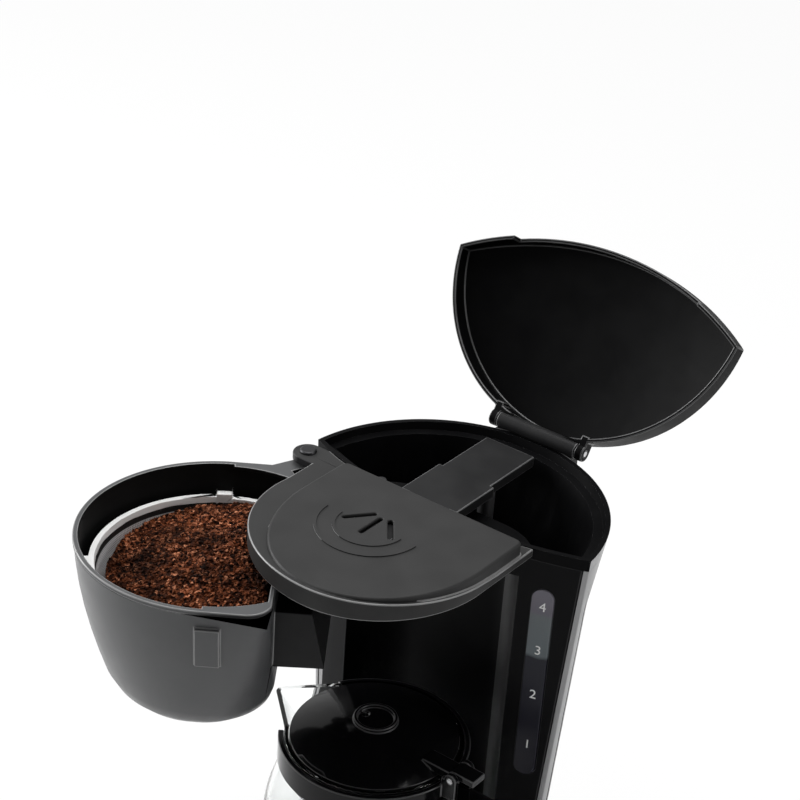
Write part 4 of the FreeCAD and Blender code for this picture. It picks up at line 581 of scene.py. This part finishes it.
heap_radius = 0.0552
heap_edge = ring_low.z - 0.0045
heap_rise = 0.0105
heap_lean = 0.0055
lump_scale, lump_height = 60, 0.0024
rear_reach = 0.0275
skirt_depth = 0.012
heap_sides, heap_rings = 110, 36


def heap_height(x, y):
    """Top of the heap at a place measured from the brew axis."""
    share = min(1, (x * x + y * y) / heap_radius ** 2)
    lumps = noise.fractal(Vector((x * lump_scale, y * lump_scale, 3.0)), 1.0, 2.0, 4) * lump_height
    lean = 1 + (x * basket_rear.x + y * basket_rear.y) / heap_radius
    return heap_edge + heap_rise * (1 - share) + heap_lean * lean + lumps


bm = bmesh.new()
bmesh.ops.create_circle(bm, segments=heap_sides, radius=heap_radius)
edges = list(bm.edges)
for i in range(heap_rings, 1, -1):
    grown = bmesh.ops.extrude_edge_only(bm, edges=edges)["geom"]
    inner = [v for v in grown if isinstance(v, bmesh.types.BMVert)]
    bmesh.ops.scale(bm, vec=Vector((1, 1, 1)) * ((i - 1) / i), verts=inner)
    edges = [e for e in grown if isinstance(e, bmesh.types.BMEdge) and len(e.link_faces) == 1
             and all(v in inner for v in e.verts)]
bmesh.ops.contextual_create(bm, geom=edges)
bmesh.ops.bisect_plane(bm, geom=bm.verts[:] + bm.edges[:] + bm.faces[:],
                       plane_co=basket_rear * rear_reach, plane_no=basket_rear, clear_outer=True)
for vert in bm.verts:
    top = heap_height(vert.co.x, vert.co.y)
    vert.co = Vector((brew_axis.x + vert.co.x, brew_axis.y + vert.co.y, top))
rim = [e for e in bm.edges if len(e.link_faces) == 1]
skirt = bmesh.ops.extrude_edge_only(bm, edges=rim)["geom"]
for vert in skirt:
    if isinstance(vert, bmesh.types.BMVert):
        vert.co.z = heap_edge - skirt_depth
bmesh.ops.holes_fill(bm, edges=[e for e in bm.edges if len(e.link_faces) == 1], sides=0)
bmesh.ops.recalc_face_normals(bm, faces=bm.faces)
for face in bm.faces:
    face.smooth = True
heap = finished(bm, "coffee_heap", coffee)
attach(heap, "basket")
grain_doublings = 13
grain_small, grain_large = 0.0004, 0.0012
spread = heap_radius * 0.985
dice = random.Random(7)
bm = bmesh.new()
corners = len(bmesh.ops.create_icosphere(bm, subdivisions=1, radius=1)["verts"])
for doubling in range(grain_doublings):
    bmesh.ops.duplicate(bm, geom=bm.verts[:] + bm.edges[:] + bm.faces[:])
bm.verts.ensure_lookup_table()
for first in range(0, len(bm.verts), corners):
    spot = basket_rear
    while spot.dot(basket_rear) > rear_reach:
        reach, turn = spread * math.sqrt(dice.random()), dice.random() * math.tau
        spot = Vector((reach * math.cos(turn), reach * math.sin(turn), 0))
    size = dice.uniform(grain_small, grain_large)
    stretch = Matrix.Diagonal((size * dice.uniform(0.7, 1.6), size * dice.uniform(0.5, 1.1),
                               size * 0.8, 1))
    angle = dice.random() * math.tau
    tumble = Matrix.Rotation(angle, 4, Vector((dice.random(), dice.random(), dice.random() + 0.1)))
    lift = heap_height(spot.x, spot.y) + size * dice.uniform(-0.3, 0.6)
    spot_now = Matrix.Translation((brew_axis.x + spot.x, brew_axis.y + spot.y, lift))
    cast = spot_now @ tumble @ stretch
    for vert in bm.verts[first:first + corners]:
        vert.co = cast @ vert.co
grains = finished(bm, "coffee_grains", coffee)
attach(grains, "basket")

# Drip valve: a black cage in the bowl's floor, a white stem with a rubber seal that a steel
# spring presses down, and which the carafe's lid lifts.
softened("valve_cage", "basket", black_skin, 0.0002)
dressed("valve_spring", plated_steel)
softened("valve_stem", "drip_valve", filter_white, 0.0003)
dressed("valve_seal", milky_rubber)

# Carafe: blown clear glass with a pouring beak, a black collar clamped round its neck by one
# screw, the handle that the collar carries, and a glossy domed lid on a hinge pin.
clear_glass, nodes, links, shader = painted("clear_glass")
shader.inputs["Base Color"].default_value = (0.97, 0.985, 0.98, 1)
shader.inputs["Transmission Weight"].default_value = 1
shader.inputs["IOR"].default_value = 1.47
place = add(nodes, "TexCoord")
swirl = add(nodes, "TexNoise", {"Scale": 35})
links.new(place.outputs["Object"], swirl.inputs["Vector"])
film = add(nodes, "MapRange", {"To Min": 0.0, "To Max": 0.05})
links.new(swirl.outputs["Fac"], film.inputs["Value"])
links.new(film.outputs[0], shader.inputs["Roughness"])
blown = add(nodes, "Bump", {"Strength": 0.05, "Distance": 0.002})
links.new(swirl.outputs["Fac"], blown.inputs["Height"])
links.new(blown.outputs[0], shader.inputs["Normal"])
softened("carafe_glass", "carafe", clear_glass, 0.0006)
softened("carafe_collar", "carafe", piano_black, 0.0006, black_highlight)
softened("carafe_handle", "carafe", piano_black, 0.0012)
dressed("band_screw", plated_steel)
dressed("carafe_lid_pin", plated_steel)
softened("carafe_lid", "carafe_lid", piano_black, 0.0006, black_highlight)
